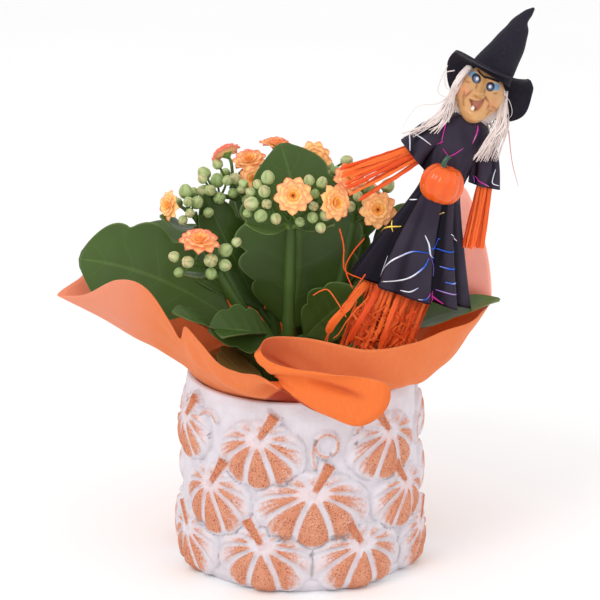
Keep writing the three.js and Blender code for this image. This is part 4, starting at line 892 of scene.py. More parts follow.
def stem_parts(line, leaves, forks, blooms, buds):
    """All that is green on one stem, from the foot in the peat to the stalks of its flowers."""
    path = curved(line, 30)
    swelling = 1 + 0.1 * np.sin(np.linspace(0, 5 * math.pi, 30)) ** 8
    parts = [(*bar(path, np.linspace(STEM_RADIUS, 2.3, 30) * swelling, 18), {"tone": 0.2})]
    parts += [leaf(**shape) for shape in leaves]
    hub = np.array(line[-1], float)
    inner = hub + 0.04 * (np.array(line[-2]) - hub)
    for fork in forks:
        swollen = 1.3 - 0.25 * np.sin(np.linspace(0, math.pi, 10)) + 0.5 * np.linspace(0, 1, 10) ** 6
        bent = (inner + fork) / 2 + [0, 0, 0.6]
        end = np.array(fork) + unit(np.array(fork) - inner) * 1.2
        parts.append((*bar(curved([inner, bent, end], 10), swollen, 10), {"tone": 0.3}))
    for bloom in blooms:
        parts += bloom_stalk(forks, **bloom)
    return parts + [bud_stalk(forks, bud) for bud in buds]


foliage = Finish("waxy_leaf", Coat_Weight=0.12, Coat_Roughness=0.25, Specular_IOR_Level=0.25)
across, along = foliage.field("across"), foliage.field("along")
spread = foliage.node("ShaderNodeMath", {"operation": "ABSOLUTE"}, {0: across})
vein_run = foliage.node("ShaderNodeMath", {"operation": "FRACT"}, {0: along * 6.0 - spread * 0.9 + 8.0})
vein_far = foliage.node("ShaderNodeMath", {"operation": "ABSOLUTE"}, {0: vein_run - 0.5})
veins = foliage.ease(vein_far, 0.45, 0.5) * foliage.ease(spread, 0.95, 0.3)
midrib = foliage.ease(spread, 0.07, 0.0)
blotch = foliage.noise(90, 4)
fine = foliage.noise(800, 3)
top_green = foliage.mix(foliage.field("tone"), srgb(54, 82, 26), srgb(80, 110, 38))
top_green = foliage.mix(blotch * 0.6, top_green, srgb(60, 72, 32))
under_green = foliage.mix(blotch, srgb(106, 122, 74), srgb(84, 100, 56))
blade_green = foliage.mix(foliage.field("upper"), under_green, top_green)
blade_green = foliage.mix(veins * 0.08 + midrib * 0.25, blade_green, srgb(112, 140, 72))
blade_green = foliage.mix(foliage.ease(spread, 0.95, 1.0) * 0.4, blade_green, srgb(138, 158, 92))
# One low leaf is tinted brownish olive.
blade_green = foliage.mix(foliage.field("old") * (0.6 + blotch * 0.4), blade_green, srgb(168, 128, 70))
stalk_green = foliage.mix(foliage.field("tone"), srgb(44, 70, 24), srgb(110, 138, 60))
foliage.colour(foliage.mix(foliage.field("blade"), stalk_green, blade_green))
foliage.rough(0.36 + blotch * 0.16)
foliage.bump(fine * 0.25 + blotch * 0.6 - veins * 0.2, 0.16)
for number, stem in enumerate(STEMS, 1):
    add_piece(
        f"green_stem_{number}", stem_parts(**stem), foliage, "foliage", f"flowering_stem_{number}")


# Buds. Tight round buds of four folded petals, pale green with a pink blush at the tip, each
# sitting in a darker green cup at the end of its stalk.
def bud_ball(forks, bud, around=20, rows=12):
    """A ball pointed at its tip, with four shallow seams that run to the tip, and a cup whose
    rim zigzags round its lower third."""
    centre = np.array(bud[:3], float)
    way = unit(centre - nearest(forks, centre))
    aside = unit(np.cross([0.3, 0.8, 0.5], way))
    other = np.cross(way, aside)
    radius = BUD_RADIUS * (bud[3] if len(bud) > 3 else 1)
    polar = np.linspace(0.94, 0.04, rows)[:, None] * math.pi
    turn = np.linspace(0, TURN, around, endpoint=False) + 0.7
    seam = np.abs(np.cos(2 * turn)) ** 10
    rim = 0.62 + 0.08 * np.abs(np.sin(2 * turn))
    cup = ease(polar / math.pi, rim, rim + 0.05)
    wide = radius * np.sin(polar) ** 0.9 * (1.02 - 0.07 * seam * np.sin(polar) + 0.05 * cup)
    high = radius * (np.cos(polar) * 1.0 + 0.16 * ease(np.cos(polar), 0.6, 1))
    rings = on_axes(
        centre, (aside, other, way), wide * np.cos(turn), wide * np.sin(turn), high + 0 * turn)
    fields = {
        "cup": ring_field(cup, 1, 0),
        "seam": ring_field(seam * ease(np.cos(polar), -0.3, 0.3), 0, 1),
        "tip": ring_field(ease(np.cos(polar), 0.1, 1) + 0 * turn, 0, 1),
        "tone": draw.uniform(0, 1),
    }
    return (*closed_skin(rings, centre - way * radius, centre + way * 1.17 * radius), fields)


bud_skin = Finish("bud_skin", Subsurface_Weight=0.15, Subsurface_Scale=0.001, Specular_IOR_Level=0.4)
bud_green = bud_skin.mix(bud_skin.field("tone"), srgb(140, 164, 98), srgb(190, 200, 142))
bud_blush = bud_skin.field("tip") * bud_skin.ease(bud_skin.field("tone"), 0.2, 0.9) * 0.45
bud_green = bud_skin.mix(bud_blush, bud_green, srgb(222, 168, 138))
bud_green = bud_skin.mix(bud_skin.field("seam") * 0.7, bud_green, srgb(92, 122, 56))
bud_green = bud_skin.mix(bud_skin.field("cup") * 0.8, bud_green, srgb(98, 130, 58))
bud_skin.colour(bud_skin.mix(bud_skin.noise(500, 3) * 0.25, bud_green, srgb(190, 204, 148)))
bud_skin.rough(0.4 + bud_skin.noise(200, 2) * 0.2)
bud_skin.bump(bud_skin.noise(1200, 3) - bud_skin.field("seam"), 0.1)
for number, stem in enumerate(STEMS, 1):
    balls = [bud_ball(stem["forks"], bud) for bud in stem["buds"]]
    add_piece(f"buds_{number}", balls, bud_skin, "foliage", f"flowering_stem_{number}")


# Blooms. Double flowers of five rings of thin pointed petals, peach with salmon edges, that
# open flat outside and stand up in a cup inside, round a small orange eye. Light comes
# through the petals, so they glow a little in the shade.
# Petals, reach, half width, height at the root and at the tip, and arch, in flower radii
PETAL_RINGS = [
    [9, 1.03, 0.30, -0.16, -0.02, 0.09], [8, 0.78, 0.30, -0.1, 0.16, 0.1],
    [7, 0.53, 0.25, -0.08, 0.3, 0.1], [5, 0.3, 0.18, -0.06, 0.38, 0.08],
    [4, 0.13, 0.07, 0.0, 0.36, 0.0],
]


def petals(at, face, spin=0, size=1, blush=0.0):
    """Each petal is a set of thin rings along a bowed rib that leaves the flower's axis; its
    half width is a power of a sine, widest past the middle and pointed at the tip, and its
    sides curl up from the rib."""
    way, aside, other = bloom_axes(face, spin)
    radius = BLOOM_RADIUS * size
    parts = []
    s = np.linspace(0.02, 0.99, 10)[:, None]
    turn = np.linspace(0, TURN, 12, endpoint=False)
    u, v = np.cos(turn), np.sin(turn)
    for layer, (count, reach, wide, low, high, arch) in enumerate(PETAL_RINGS):
        for number in range(count):
            way_round_axis = TURN * (number + 0.5 * layer + draw.uniform(-0.07, 0.07)) / count
            length = reach * draw.uniform(0.94, 1.0)
            tilt = draw.uniform(-0.04, 0.04)
            out = 0.05 + (length - 0.05) * s
            width = wide * np.sin(math.pi * s**1.35) ** 0.7 + 0.02 * (1 - s)
            rise = low + (high - low) * s**1.2 + arch * np.sin(math.pi * s) + tilt * s
            sideways = u * width
            curl = 0.35 * wide * u**2 * (0.4 + 0.6 * s)
            rise = rise + curl + 0.018 * v + 0.02 * np.sin(3 * u + 5 * s + number)
            angle = way_round_axis + 0 * s
            x = out * np.cos(angle) - sideways * np.sin(angle)
            y = out * np.sin(angle) + sideways * np.cos(angle)
            rings = np.array(at) + radius * (
                x[..., None] * aside + y[..., None] * other + rise[..., None] * way)
            same = np.ones_like(rise)
            fields = {
                "reach": ring_field(np.hypot(x, y), 0, length),
                "tip": ring_field(s * same, 0, 1),
                "edge": ring_field(np.abs(u) * same, 0, 1),
                "blush": blush + draw.uniform(-0.08, 0.08),
            }
            parts.append((*closed_skin(rings), fields))
    return parts


petal_skin = Finish(
    "petal_skin", Subsurface_Weight=0.12, Subsurface_Scale=0.001, Sheen_Weight=0.08,
    Specular_IOR_Level=0.3, Emission_Strength=0.1)
petal_grain = petal_skin.noise(900, 3)
petal_colour = petal_skin.mix(
    petal_skin.ease(petal_skin.field("reach"), 0.1, 0.5), srgb(248, 188, 84), srgb(255, 212, 142))
edged = petal_skin.field("tip") * 0.55 + petal_skin.field("edge") * petal_skin.field("tip") * 0.45
edged = edged + petal_skin.field("blush") + (petal_grain - 0.5) * 0.25
petal_colour = petal_skin.mix(petal_skin.ease(edged, 0.45, 1.05), petal_colour, srgb(240, 132, 106))
flower_eye = petal_skin.ease(petal_skin.field("reach"), 0.12, 0.04)
petal_colour = petal_skin.mix(flower_eye, petal_colour, srgb(222, 92, 40))
petal_skin.colour(petal_colour).rough(0.55 + petal_grain * 0.2)
petal_skin.put(petal_skin.shader.inputs["Emission Color"], petal_colour)
petal_skin.bump(petal_grain, 0.1)
# How far the salmon edge comes in on each flower
BLUSHES = [0.05, 0.0, 0.35, 0.1, 0.05, -0.05, 0.15, 0.0, 0.2, 0.0, 0.15, 0.05, 0.0, 0.1]
flowers = [bloom for stem in STEMS for bloom in stem["blooms"]]
for number, (flower, blush) in enumerate(zip(flowers, BLUSHES), 1):
    add_piece(
        f"flower_{number:02d}", petals(**flower, blush=blush), petal_skin, "petals", f"bloom_{number:02d}")


# Stick. A round bamboo skewer pushed into the peat, which holds the witch up. It keeps the
# frame's own solid.
bamboo = Finish("bamboo")
bamboo_grain = bamboo.noise(500, 4, bamboo.stretched(1, 1, 0.06))
bamboo.colour(bamboo.mix(bamboo_grain, srgb(176, 138, 84), srgb(222, 190, 134)))
bamboo.rough(0.55 + bamboo_grain * 0.25).bump(bamboo_grain, 0.12)
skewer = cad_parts["pick_stick"]
skewer.data.materials.clear()
skewer.data.materials.append(bamboo.material)


# Gown. A doll's gown of black satin sewn as one body with two wide sleeves, gathered at the
# waist and stuffed out by the raffia in it; its hem and cuffs are open. Each row of a table
# is a ring of the body: its middle and its two half axes.
SKIRT_RINGS = [
    [[48, -20, 131], [25, 0, -8], [0, 13, 1]], [[53, -20, 149], [18.5, 0, -6], [0, 10.5, 0]],
    [[59, -20, 169], [11, 0, -3.5], [0, 7.5, 0]], [[62, -20, 179], [8.4, 0, -2.8], [0, 6.2, 0]],
    [[67, -20, 194], [11, 0, -3], [0, 6.8, 0]], [[70.5, -20, 204], [11.5, 0, -3.2], [0, 6.2, 0]],
    [[73, -20, 208], [6, 0, -2], [0, 4.5, 0]],
]
LEFT_SLEEVE_RINGS = [
    [[65, -20, 203], [-2, 0, 4.5], [0, 4, 0]], [[56, -21, 199], [-3.5, 0, 6.5], [0, 4.5, 0]],
    [[49, -22, 191.5], [-5.5, 0, 7], [0, 3.6, 0]],
]
RIGHT_SLEEVE_RINGS = [
    [[76, -20, 203], [4.5, 0, 1], [0, 4, 0]], [[80, -21, 192], [6, 0, -0.5], [0, 4.5, 0]],
    [[80.5, -22, 178], [6.6, 0, -1.5], [0, 3.6, 0]],
]
# Azimuth in degrees, depth, half width in degrees, and the ring at which a fold dies out
SKIRT_FOLDS = [
    [303, 0.3, 9, 3.6], [254, 0.12, 10, 3.0], [224, 0.2, 11, 3.4],
    [335, 0.14, 12, 2.8], [30, 0.16, 14, 3.0], [85, 0.17, 14, 3.0], [140, 0.15, 14, 3.0],
]
# The turned hem, from inside out: share of the hem's width, and distance in from its edge
HEM_STEPS = [(0.3, 4.6), (0.6, 4.2), (0.86, 3.0), (0.94, 1.0), (0.97, 0.0)]
HEM_DEPTH = 4.8


def gown_place(table, level, angle):
    """Points on a body part: rings interpolated along it, an ellipse at each level."""
    middle, first, second = np.moveaxis(spline(table, level), -2, 0)
    return middle + np.cos(angle)[..., None] * first + np.sin(angle)[..., None] * second


def skirt_swell(level, angle):
    """Share by which the cloth stands out of its ring: soft flutes and deep folds that grow to
    the hem, fine gathers about the waist, and slack over the bodice."""
    hem = np.clip(1 - level / 3.2, 0, 1)
    swell = 0.02 * hem * np.cos(7 * angle + 0.9 * np.sin(2 * angle) + 0.5 * level)
    swell = swell + 0.05 * np.exp(-(((level - 3) / 0.55) ** 2)) * np.cos(17 * angle + level)
    swell = swell + 0.035 * np.exp(-(((level - 4.5) / 0.9) ** 2)) * np.cos(5 * angle + 2.2 * level)
    for azimuth, depth, wide, top in SKIRT_FOLDS:
        away = (np.degrees(angle) - azimuth + 6 * level + 180) % 360 - 180
        fade = np.clip(1 - level / top, 0, 1) ** 0.6
        swell = swell - depth * fade * np.exp(-((away / wide) ** 2))
        swell = swell + 0.3 * depth * fade * np.exp(-(((np.abs(away) - 2 * wide) / wide) ** 2))
    return swell


def sleeve_swell(level, angle):
    """The same for a sleeve: flutes that grow to the cuff, and fine gathers."""
    return 0.05 * level * np.cos(5 * angle + 1.6 * level) + 0.03 * np.cos(9 * angle - level)


def gown_part(table, swell, hem_at_start, around=144, rows=90, shaded=(0, 0)):
    """A closed body whose rings are scaled by 1 + swell, with its open end let in: the cloth
    turns round the hem and runs back inside it. Its one field is painted shade: 1 in the
    folds and inside the hem, and also on the panel between the two shaded azimuths in
    degrees."""
    level = np.linspace(0, len(table) - 1, rows)[:, None]
    angle = np.linspace(0, TURN, around, endpoint=False)[None]
    rings = gown_place(table, level + 0 * angle, angle + 0 * level)
    middle = rings.mean(1, keepdims=True)
    stand = swell(level, angle)
    rings = middle + (rings - middle) * (1 + stand)[..., None]
    shaded_panel = np.degrees(angle) + 6 * level
    shaded_panel = ease(shaded_panel, shaded[0], shaded[0] + 15) * ease(-shaded_panel, -shaded[1], 8 - shaded[1]) * (level < 3)
    fold = np.maximum(ease(-stand, 0.0, 0.1), 0.8 * shaded_panel)
    if not hem_at_start:
        rings, fold = rings[::-1], fold[::-1]
    inward = unit(rings[5].mean(0) - rings[0].mean(0))
    middle = rings[0].mean(0)
    turned_in = [middle + (rings[0] - middle) * share + inward * lift for share, lift in HEM_STEPS]
    rings = np.concatenate([turned_in, rings])
    fold = ring_field(np.vstack([np.ones((len(turned_in), around)), fold]), 1, 0)
    return (*closed_skin(rings, middle + inward * HEM_DEPTH), {"fold": fold})


satin = Finish(
    "black_satin", Sheen_Weight=0.1, Sheen_Roughness=0.3, Sheen_Tint=(0.5, 0.4, 0.9, 1),
    Specular_IOR_Level=0.16, Specular_Tint=(0.8, 0.7, 1, 1))
satin_cloud = satin.noise(70, 3)
satin_thread = satin.noise(1400, 2, satin.stretched(1, 1, 0.3))
satin_black = satin.mix(satin_cloud, srgb(34, 29, 40), srgb(62, 55, 67))
# Painted shade: the folds and the shaded panel are near black.
satin.colour(satin.mix(satin.field("fold"), satin_black, srgb(10, 8, 12)))
satin.rough(0.26 + satin_cloud * 0.12).bump(satin_thread + satin_cloud * 2, 0.09)
gown = add_piece("satin_gown", [
    gown_part(SKIRT_RINGS, skirt_swell, True, shaded=(165, 226)),
    gown_part(LEFT_SLEEVE_RINGS, sleeve_swell, False, 60, 30),
    gown_part(RIGHT_SLEEVE_RINGS, sleeve_swell, False, 60, 30),
], satin, "black_satin", "witch_gown")


# Foil on the gown. Thin strokes of coloured metal foil pressed on the satin: plain arcs, bars
# and little stars with no meaning. A stroke is its colour, or its first and last one, its
# width, and its points as azimuth and ring on the body or a sleeve.
SILVER, BLUE, MAGENTA, GOLD = 0.0, 1.0, 2.0, 3.0
SKIRT_STROKES = [
    [(-0.4, BLUE), 0.9, [[266, 1.4], [275, 1.25], [281, 1.05], [289, 1.0]]],
    [(-0.3, 1.3), 0.9, [[225, 0.2], [239, 0.7], [256, 1.0], [279, 1.1]]],
    [(-0.4, 1.4), 0.9, [[238, 0.15], [261, 0.4], [275, 0.75], [279, 1.0]]],
    [BLUE, 0.8, [[280, 1.15], [291, 1.35], [297, 1.4]]],
    [BLUE, 0.8, [[279, 1.2], [305, 1.2], [325, 1.3]]],
    [1.4, 0.7, [[282, 1.0], [290, 0.8], [293, 0.6]]],
    [SILVER, 0.6, [[225, 0.25], [220, 0.7]]],
    [(SILVER, 0.6), 0.8, [[258, 0.1], [268, 0.15], [275, 0.3]]],
    [(0.2, MAGENTA), 0.7, [[277, 0.05], [284, 0.1], [289, 0.25]]],
    [GOLD, 0.9, [[188, 1.15], [200, 1.28], [214, 1.38]]],
    [GOLD, 0.8, [[196, 1.42], [208, 1.22]]],
    [GOLD, 0.7, [[280, 1.9], [295, 1.95]]],
    [SILVER, 0.7, [[196, 1.95], [212, 2.05]]],
    [SILVER, 0.7, [[308, 1.55], [335, 1.42]]],
    [BLUE, 1.1, [[302, 0.85], [320, 0.9]]],
    [BLUE, 1.0, [[308, 0.55], [322, 0.6]]],
    [1.5, 0.8, [[303, 0.3], [319, 0.35]]],
    [MAGENTA, 1.0, [[292, 0.03], [301, 0.12], [310, 0.05]]],
    [MAGENTA, 0.9, [[299, 0.25], [303, 0.03]]],
    [MAGENTA, 0.7, [[209, 5.6], [230, 4.95], [234, 4.1]]],
    [MAGENTA, 0.6, [[221, 4.05], [239, 4.25]]],
    [MAGENTA, 0.6, [[241, 4.0], [262, 3.85], [284, 4.2]]],
    [MAGENTA, 0.8, [[301, 5.6], [299, 5.0], [299, 4.45]]],
    [SILVER, 0.7, [[40, 0.3], [62, 0.8], [84, 0.9]]], [BLUE, 0.8, [[84, 0.9], [100, 0.5], [120, 0.45]]],
    [MAGENTA, 0.7, [[70, 4.6], [92, 4.2], [110, 4.5]]], [GOLD, 0.8, [[132, 1.2], [150, 1.5]]],
]
LEFT_SLEEVE_STROKES = [[SILVER, 0.7, [[337, 1.5], [291, 1.95]]], [SILVER, 0.7, [[330, 1.45], [254, 1.05]]]]
RIGHT_SLEEVE_STROKES = [
    [MAGENTA, 0.6, [[221, 1.72], [252, 1.85], [285, 1.95]]], [1.5, 0.6, [[218, 1.95], [214, 1.7]]],
    [SILVER, 0.6, [[314, 1.4], [298, 1.8], [324, 1.88]]],
]


def foil_stroke(table, swell, hue, wide, knots, count=26):
    """A flat ribbon whose middle line is a curve on the body, read as azimuth and ring; it
    lies just off the cloth, pointed at both ends, and is closed all round."""
    azimuth, level = curved(knots, count).T
    angle = np.radians(azimuth)

    def cloth(angle, level):
        place = gown_place(table, level, angle)
        middle = spline(table, level)[..., 0, :]
        return middle + (place - middle) * (1 + swell(level, angle))[..., None]

    path = cloth(angle, level)
    normal = unit(np.cross(cloth(angle + 0.02, level) - path, cloth(angle, level + 0.02) - path))
    normal *= np.sign(np.einsum("ij,ij->i", normal, path - spline(table, level)[:, 0]))[:, None]
    aside = unit(np.cross(np.gradient(path, axis=0), normal))
    half = wide / 2 * np.sin(math.pi * np.linspace(0.06, 0.94, count))[:, None] ** 0.5
    rings = np.stack([
        path + normal * 0.22 + aside * half, path + normal * 0.32,
        path + normal * 0.22 - aside * half, path + normal * 0.05], 1)
    first, last = np.broadcast_to(hue, 2)
    hues = np.repeat(np.linspace(first, last, count)[:, None], 4, 1)
    skin = closed_skin(rings, path[0] + normal[0] * 0.2, path[-1] + normal[-1] * 0.2)
    return (*skin, {"hue": ring_field(hues, first, last)})


foil = Finish("coloured_foil", Metallic=0.75, Emission_Strength=0.06)
hue = foil.field("hue")
foil_colour = foil.mix(foil.ease(hue, 0.3, 0.9), srgb(222, 226, 236), srgb(50, 98, 206))
foil_colour = foil.mix(foil.ease(hue, 1.2, 1.9), foil_colour, srgb(206, 52, 160))
foil_colour = foil.mix(foil.ease(hue, 2.2, 2.9), foil_colour, srgb(240, 206, 84))
# Painted highlights: near-white patches laid over the foil colours at random.
foil_colour = foil.mix(foil.ease(foil.noise(120, 2), 0.5, 0.7) * 0.3, foil_colour, srgb(244, 246, 255))
foil.colour(foil_colour).rough(0.22 + foil.noise(600, 2) * 0.2)
foil.bump(foil.noise(500, 3), 0.1)
# Painted glow: the foil gives off a little light in its own colours.
foil.put(foil.shader.inputs["Emission Color"], foil_colour)
strokes = [foil_stroke(SKIRT_RINGS, skirt_swell, *stroke) for stroke in SKIRT_STROKES]
strokes += [foil_stroke(LEFT_SLEEVE_RINGS, sleeve_swell, *stroke) for stroke in LEFT_SLEEVE_STROKES]
strokes += [foil_stroke(RIGHT_SLEEVE_RINGS, sleeve_swell, *stroke) for stroke in RIGHT_SLEEVE_STROKES]
add_piece("gown_foil", strokes, foil, "black_satin", "witch_gown")


# Head. A doll's head cast in resin and painted: an egg with a long nose, round cheeks and an
# open laughing mouth with one tooth. Places on the face are in its own frame, x to its left
# as seen and z up, before the head is tilted.
HEAD_CENTRE = np.array([77, -22, 218])
HEAD_TILT = math.radians(20)
HEAD_HALF = np.array([10.6, 9.6, 12.4])
# Across and up, half width and half height of the mark, and how far it stands forward
FACE_SWELLS = [
    [-2.0, 2.5, 1.9, 1.7, 3.4], [-3.5, 1.5, 1.0, 0.9, 0.9], [-0.6, 1.2, 1.0, 0.9, 0.9],
    [-7.2, 1.4, 2.6, 2.4, 1.5], [4.6, 0.2, 2.6, 2.4, 1.5], [-5.0, 10.1, 2.6, 0.9, 0.7],
    [2.6, 9.2, 2.6, 0.9, 0.7], [-4.5, 7.4, 2.2, 1.9, -0.9], [2.2, 6.4, 2.2, 1.9, -0.9],
    [-4.5, 7.4, 1.5, 1.4, 1.2], [2.2, 6.4, 1.5, 1.4, 1.2], [0.9, -9.4, 2.8, 2.2, 1.6],
    [-1.0, -7.4, 2.4, 0.7, 0.5], [-1.6, -5.0, 0.75, 0.9, 1.2],
]
# From and to across and up, half width, and depth of a wrinkle
FACE_WRINKLES = [
    [[-4.6, 3.2], [-6.6, -2.4], 0.45, 0.5], [[0.8, 2.4], [4.2, -0.2], 0.45, 0.45],
    [[4.2, -0.2], [4.4, -3.6], 0.4, 0.4], [[-8.6, 4.4], [-6.2, 5.2], 0.35, 0.3],
    [[4.4, 4.2], [6.2, 4.6], 0.35, 0.3], [[-7.4, -1.4], [-5.2, -6.0], 0.35, 0.3],
    [[-3.6, 11.6], [1.0, 11.0], 0.3, 0.25], [[6.2, -2.6], [5.0, -6.6], 0.35, 0.3],
    [[5.6, -1.0], [8.4, -2.6], 0.35, 0.35], [[4.6, -3.4], [7.6, -3.6], 0.3, 0.3],
    [[-7.6, 1.0], [-6.4, -3.2], 0.4, 0.4], [[-3.2, 1.0], [-1.4, 0.3], 0.3, 0.4],
    [[-1.2, 0.3], [0.4, 0.7], 0.3, 0.4], [[-3.4, 6.0], [-3.6, 3.6], 0.35, 0.4],
    [[0.3, 5.2], [0.6, 3.0], 0.35, 0.4],
]
# Across and up: the line of the nose, the eyes, the brows, and the mouth with its slant
NOSE = (-1.6, 8.8), (-2.0, 3.0)
EYES = (-4.5, 7.4), (2.2, 6.4)
BROWS = [
    ((-6.4, 11.6), (-3.6, 9.9)), ((-3.6, 9.9), (-1.6, 9.3)), ((-1.6, 9.3), (1.4, 9.6)),
    ((1.4, 9.6), (5.2, 9.2)),
]
MOUTH = (-1.35, -0.3)
MOUTH_SLANT = (0.912, 0.41)


def away_from(x, z, start, end):
    """Distance in the face from a point to a straight stroke, and the share along it."""
    start, run = np.array(start, float), np.subtract(end, start)
    share = np.clip(((x - start[0]) * run[0] + (z - start[1]) * run[1]) / (run @ run), 0, 1)
    return np.hypot(x - start[0] - share * run[0], z - start[1] - share * run[1]), share


def on_egg(half, polar, azimuth):
    """Points of an egg with three half axes, given round it and from its top, as x, y, z."""
    x = half[0] * np.sin(polar) * np.cos(azimuth)
    y = half[1] * np.sin(polar) * np.sin(azimuth)
    return x, y, half[2] * np.cos(polar) + 0 * azimuth


def leaned(x, y, z, angle):
    """Points turned about the line of sight, so that their top leans to the right."""
    return np.stack([
        x * math.cos(angle) + z * math.sin(angle), y, z * math.cos(angle) - x * math.sin(angle)], -1)


def painted_head(around=170, rows=130):
    """An ellipsoid narrowed at the chin, whose points stand closer together in front. The
    features are rounded swells and strokes that move its front along the line of sight of
    the face, and the same marks give the paint."""
    s = np.linspace(0, 1, around, endpoint=False)
    azimuth = -math.pi / 2 + TURN * s - 0.75 * np.sin(TURN * s)
    polar = np.linspace(0.03, 0.97, rows)[:, None] * math.pi
    x, y, z = on_egg(HEAD_HALF, polar, azimuth)
    low = np.clip(-z / HEAD_HALF[2], 0, 1)
    y = y - 6 * np.clip(low - 0.45, 0, 1) * np.clip(-y / HEAD_HALF[1], 0, 1)
    x = x * (1 - 0.3 * low)
    front = ease(-y / HEAD_HALF[1], 0.05, 0.4)
    forward = np.zeros_like(x)
    for middle, level, wide, high, stand in FACE_SWELLS:
        forward += stand * np.exp(-(((x - middle) / wide) ** 2) - ((z - level) / high) ** 2)
    away, share = away_from(x, z, *NOSE)
    forward += (0.7 + 2.0 * share) * np.exp(-((away / 1.25) ** 2))
    brown = np.zeros_like(x)
    for start, end, wide, depth in FACE_WRINKLES:
        away, share = away_from(x, z, start, end)
        mark = np.exp(-((away / wide) ** 2)) * np.sin(math.pi * (0.12 + 0.76 * share))
        forward -= depth * mark
        brown = np.maximum(brown, mark)
    p = (MOUTH_SLANT[0] * (x - MOUTH[0]) + MOUTH_SLANT[1] * (z - MOUTH[1])) / 0.8
    q = (MOUTH_SLANT[1] * (x - MOUTH[0]) - MOUTH_SLANT[0] * (z - MOUTH[1])) / 0.9
    lip_high = 1.1 * (1 - (p / 3.9) ** 2) - 0.2
    lip_low = 5.6 * np.clip(1 - ((p + 1.4) / np.where(p < -1.4, 2.6, 5.2)) ** 2, 0, None) ** 0.8
    inside = ease(q - lip_high, -0.2, 0.35) * ease(lip_low - q, -0.2, 0.35) * (np.abs(p) < 4.2)
    lips = ease(q - lip_high, -1.0, -0.1) * ease(lip_low - q, -1.1, -0.1) * (np.abs(p) < 4.6) - inside
    tooth = ease(-np.hypot((x + 1.6) / 0.75, (z + 4.7) / 0.95), -1.25, -0.8)
    forward += 0.35 * np.clip(lips, 0, 1) - 1.9 * inside * (1 - tooth)
    eye = np.minimum(*(np.hypot(x - middle, z - level) for middle, level in EYES))
    glint = np.minimum(np.hypot(x + 4.2, z - 7.6), np.hypot(x - 2.0, z - 6.5))
    lid = np.minimum(np.hypot((x + 6.2) / 2.2, (z - 8.3) / 1.5), np.hypot((x - 4.4) / 2.2, (z - 6.9) / 1.6))
    brow_mark = np.minimum.reduce([away_from(x, z, *ends)[0] for ends in BROWS])
    cheek = np.exp(-(((x + 7.6) / 2.4) ** 2) - ((z - 1.0) / 2.4) ** 2)
    cheek += 0.8 * np.exp(-(((x - 5.4) / 2.4) ** 2) - ((z + 0.4) / 2.4) ** 2)
    y = y - front * forward
    place = leaned(x, y, z, HEAD_TILT) + HEAD_CENTRE
    marks = {
        "brown": brown + 0.4 * np.clip(lips, 0, 1),
        "blush": cheek,
        "mouth": inside * (1 - tooth),
        "white": np.maximum(tooth, ease(-glint, -0.8, -0.4)),
        "black": np.maximum(ease(-eye, -2.1, -1.8), ease(-brow_mark, -0.6, -0.25)),
        "iris": ease(-eye, -1.3, -0.9),
        "blue": ease(-lid, -1.15, -0.75),
    }
    fields = {key: ring_field(front * mark, 0, 0) for key, mark in marks.items()}
    return (*closed_skin(place), fields)


painted_skin = Finish("painted_skin", Subsurface_Weight=0.1, Subsurface_Scale=0.001, Coat_Weight=0.25)
skin_cloud = painted_skin.noise(220, 4)
skin = painted_skin.mix(skin_cloud, srgb(216, 166, 108), srgb(196, 140, 84))
skin = painted_skin.mix(painted_skin.field("blush") * 0.5, skin, srgb(212, 116, 90))
skin = painted_skin.mix(painted_skin.field("brown") * 0.75, skin, srgb(128, 74, 40))
skin = painted_skin.mix(painted_skin.field("blue") * 0.85, skin, srgb(84, 158, 206))
skin = painted_skin.mix(painted_skin.field("mouth"), skin, srgb(186, 118, 92))
skin = painted_skin.mix(painted_skin.field("black"), skin, srgb(30, 26, 40))
skin = painted_skin.mix(painted_skin.field("iris"), skin, srgb(92, 108, 156))
painted_skin.colour(painted_skin.mix(painted_skin.field("white"), skin, srgb(244, 240, 236)))
painted_skin.rough(0.42 + skin_cloud * 0.15)
painted_skin.bump(painted_skin.noise(600, 3), 0.08)
add_piece("painted_head", [painted_head()], painted_skin, "painted_skin", "witch_head")


# Hair. Long flat strands of white doll hair glued under the hat: they part round the face,
# fall over both shoulders and down the back, and a few stray loops stand at the brim.
# Count, root, turn over the shoulder, end, and how far a strand strays at each of them
HAIR_LOCKS = [
    [18, [67, -22.5, 221.5], [61.5, -27.3, 212], [53.5, -28.2, 205.5], [1.0, 1.4, 2.0]],
    [9, [66.5, -22.5, 219], [58.5, -27.4, 208.5], [46, -27.6, 202], [0.9, 1.4, 2.6]],
    [6, [68, -22, 217], [63, -27.6, 209], [57, -28.3, 203], [0.9, 1.3, 2.4]],
    [52, [87.5, -22, 217], [86, -28.4, 206], [78.5, -29.4, 192], [1.4, 2.4, 4.2]],
    [12, [88.5, -20, 215], [88.5, -27.5, 205], [84, -28.6, 191], [1.0, 1.3, 2.0]],
    [24, [72.5, -25.2, 231], [67.2, -27.6, 225.5], [63.5, -28.3, 215], [0.9, 1.1, 1.8]],
    [14, [69, -25.5, 226], [65.5, -27.6, 219], [62.5, -28.2, 208], [1.0, 1.0, 1.6]],
    [60, [79, -12.5, 222], [78, -11.6, 211], [77, -11.8, 199], [7.0, 8.5, 9.0]],
    [14, [68.5, -15, 221], [65, -14, 210], [64, -13.5, 200], [1.2, 2.0, 3.0]],
    [14, [88.5, -15, 218], [88, -14, 207], [86, -13.5, 196], [1.2, 2.0, 3.0]],
]
HAIR_CAP_CENTRE = np.array([77.4, -18.2, 216])
HAIR_CAP_HALF = np.array([11.3, 7.0, 11.8])
# The first of these is a red thread
STRAY_HAIRS = [
    [[88, -22, 213], [89.5, -27, 205], [91.5, -27.5, 190], [94.5, -27.5, 179]],
    [[63, -27, 232], [60, -29, 226], [59, -30, 221], [63, -30, 219], [66, -28, 224]],
    [[66, -28, 230], [62, -30, 229], [62.5, -30, 223], [67, -28, 221]],
    [[67, -25, 222], [60, -28, 216], [50, -28, 214], [44, -28, 205]],
    [[87, -24, 220], [90, -27, 216], [91, -27, 211], [89, -27, 208]],
]


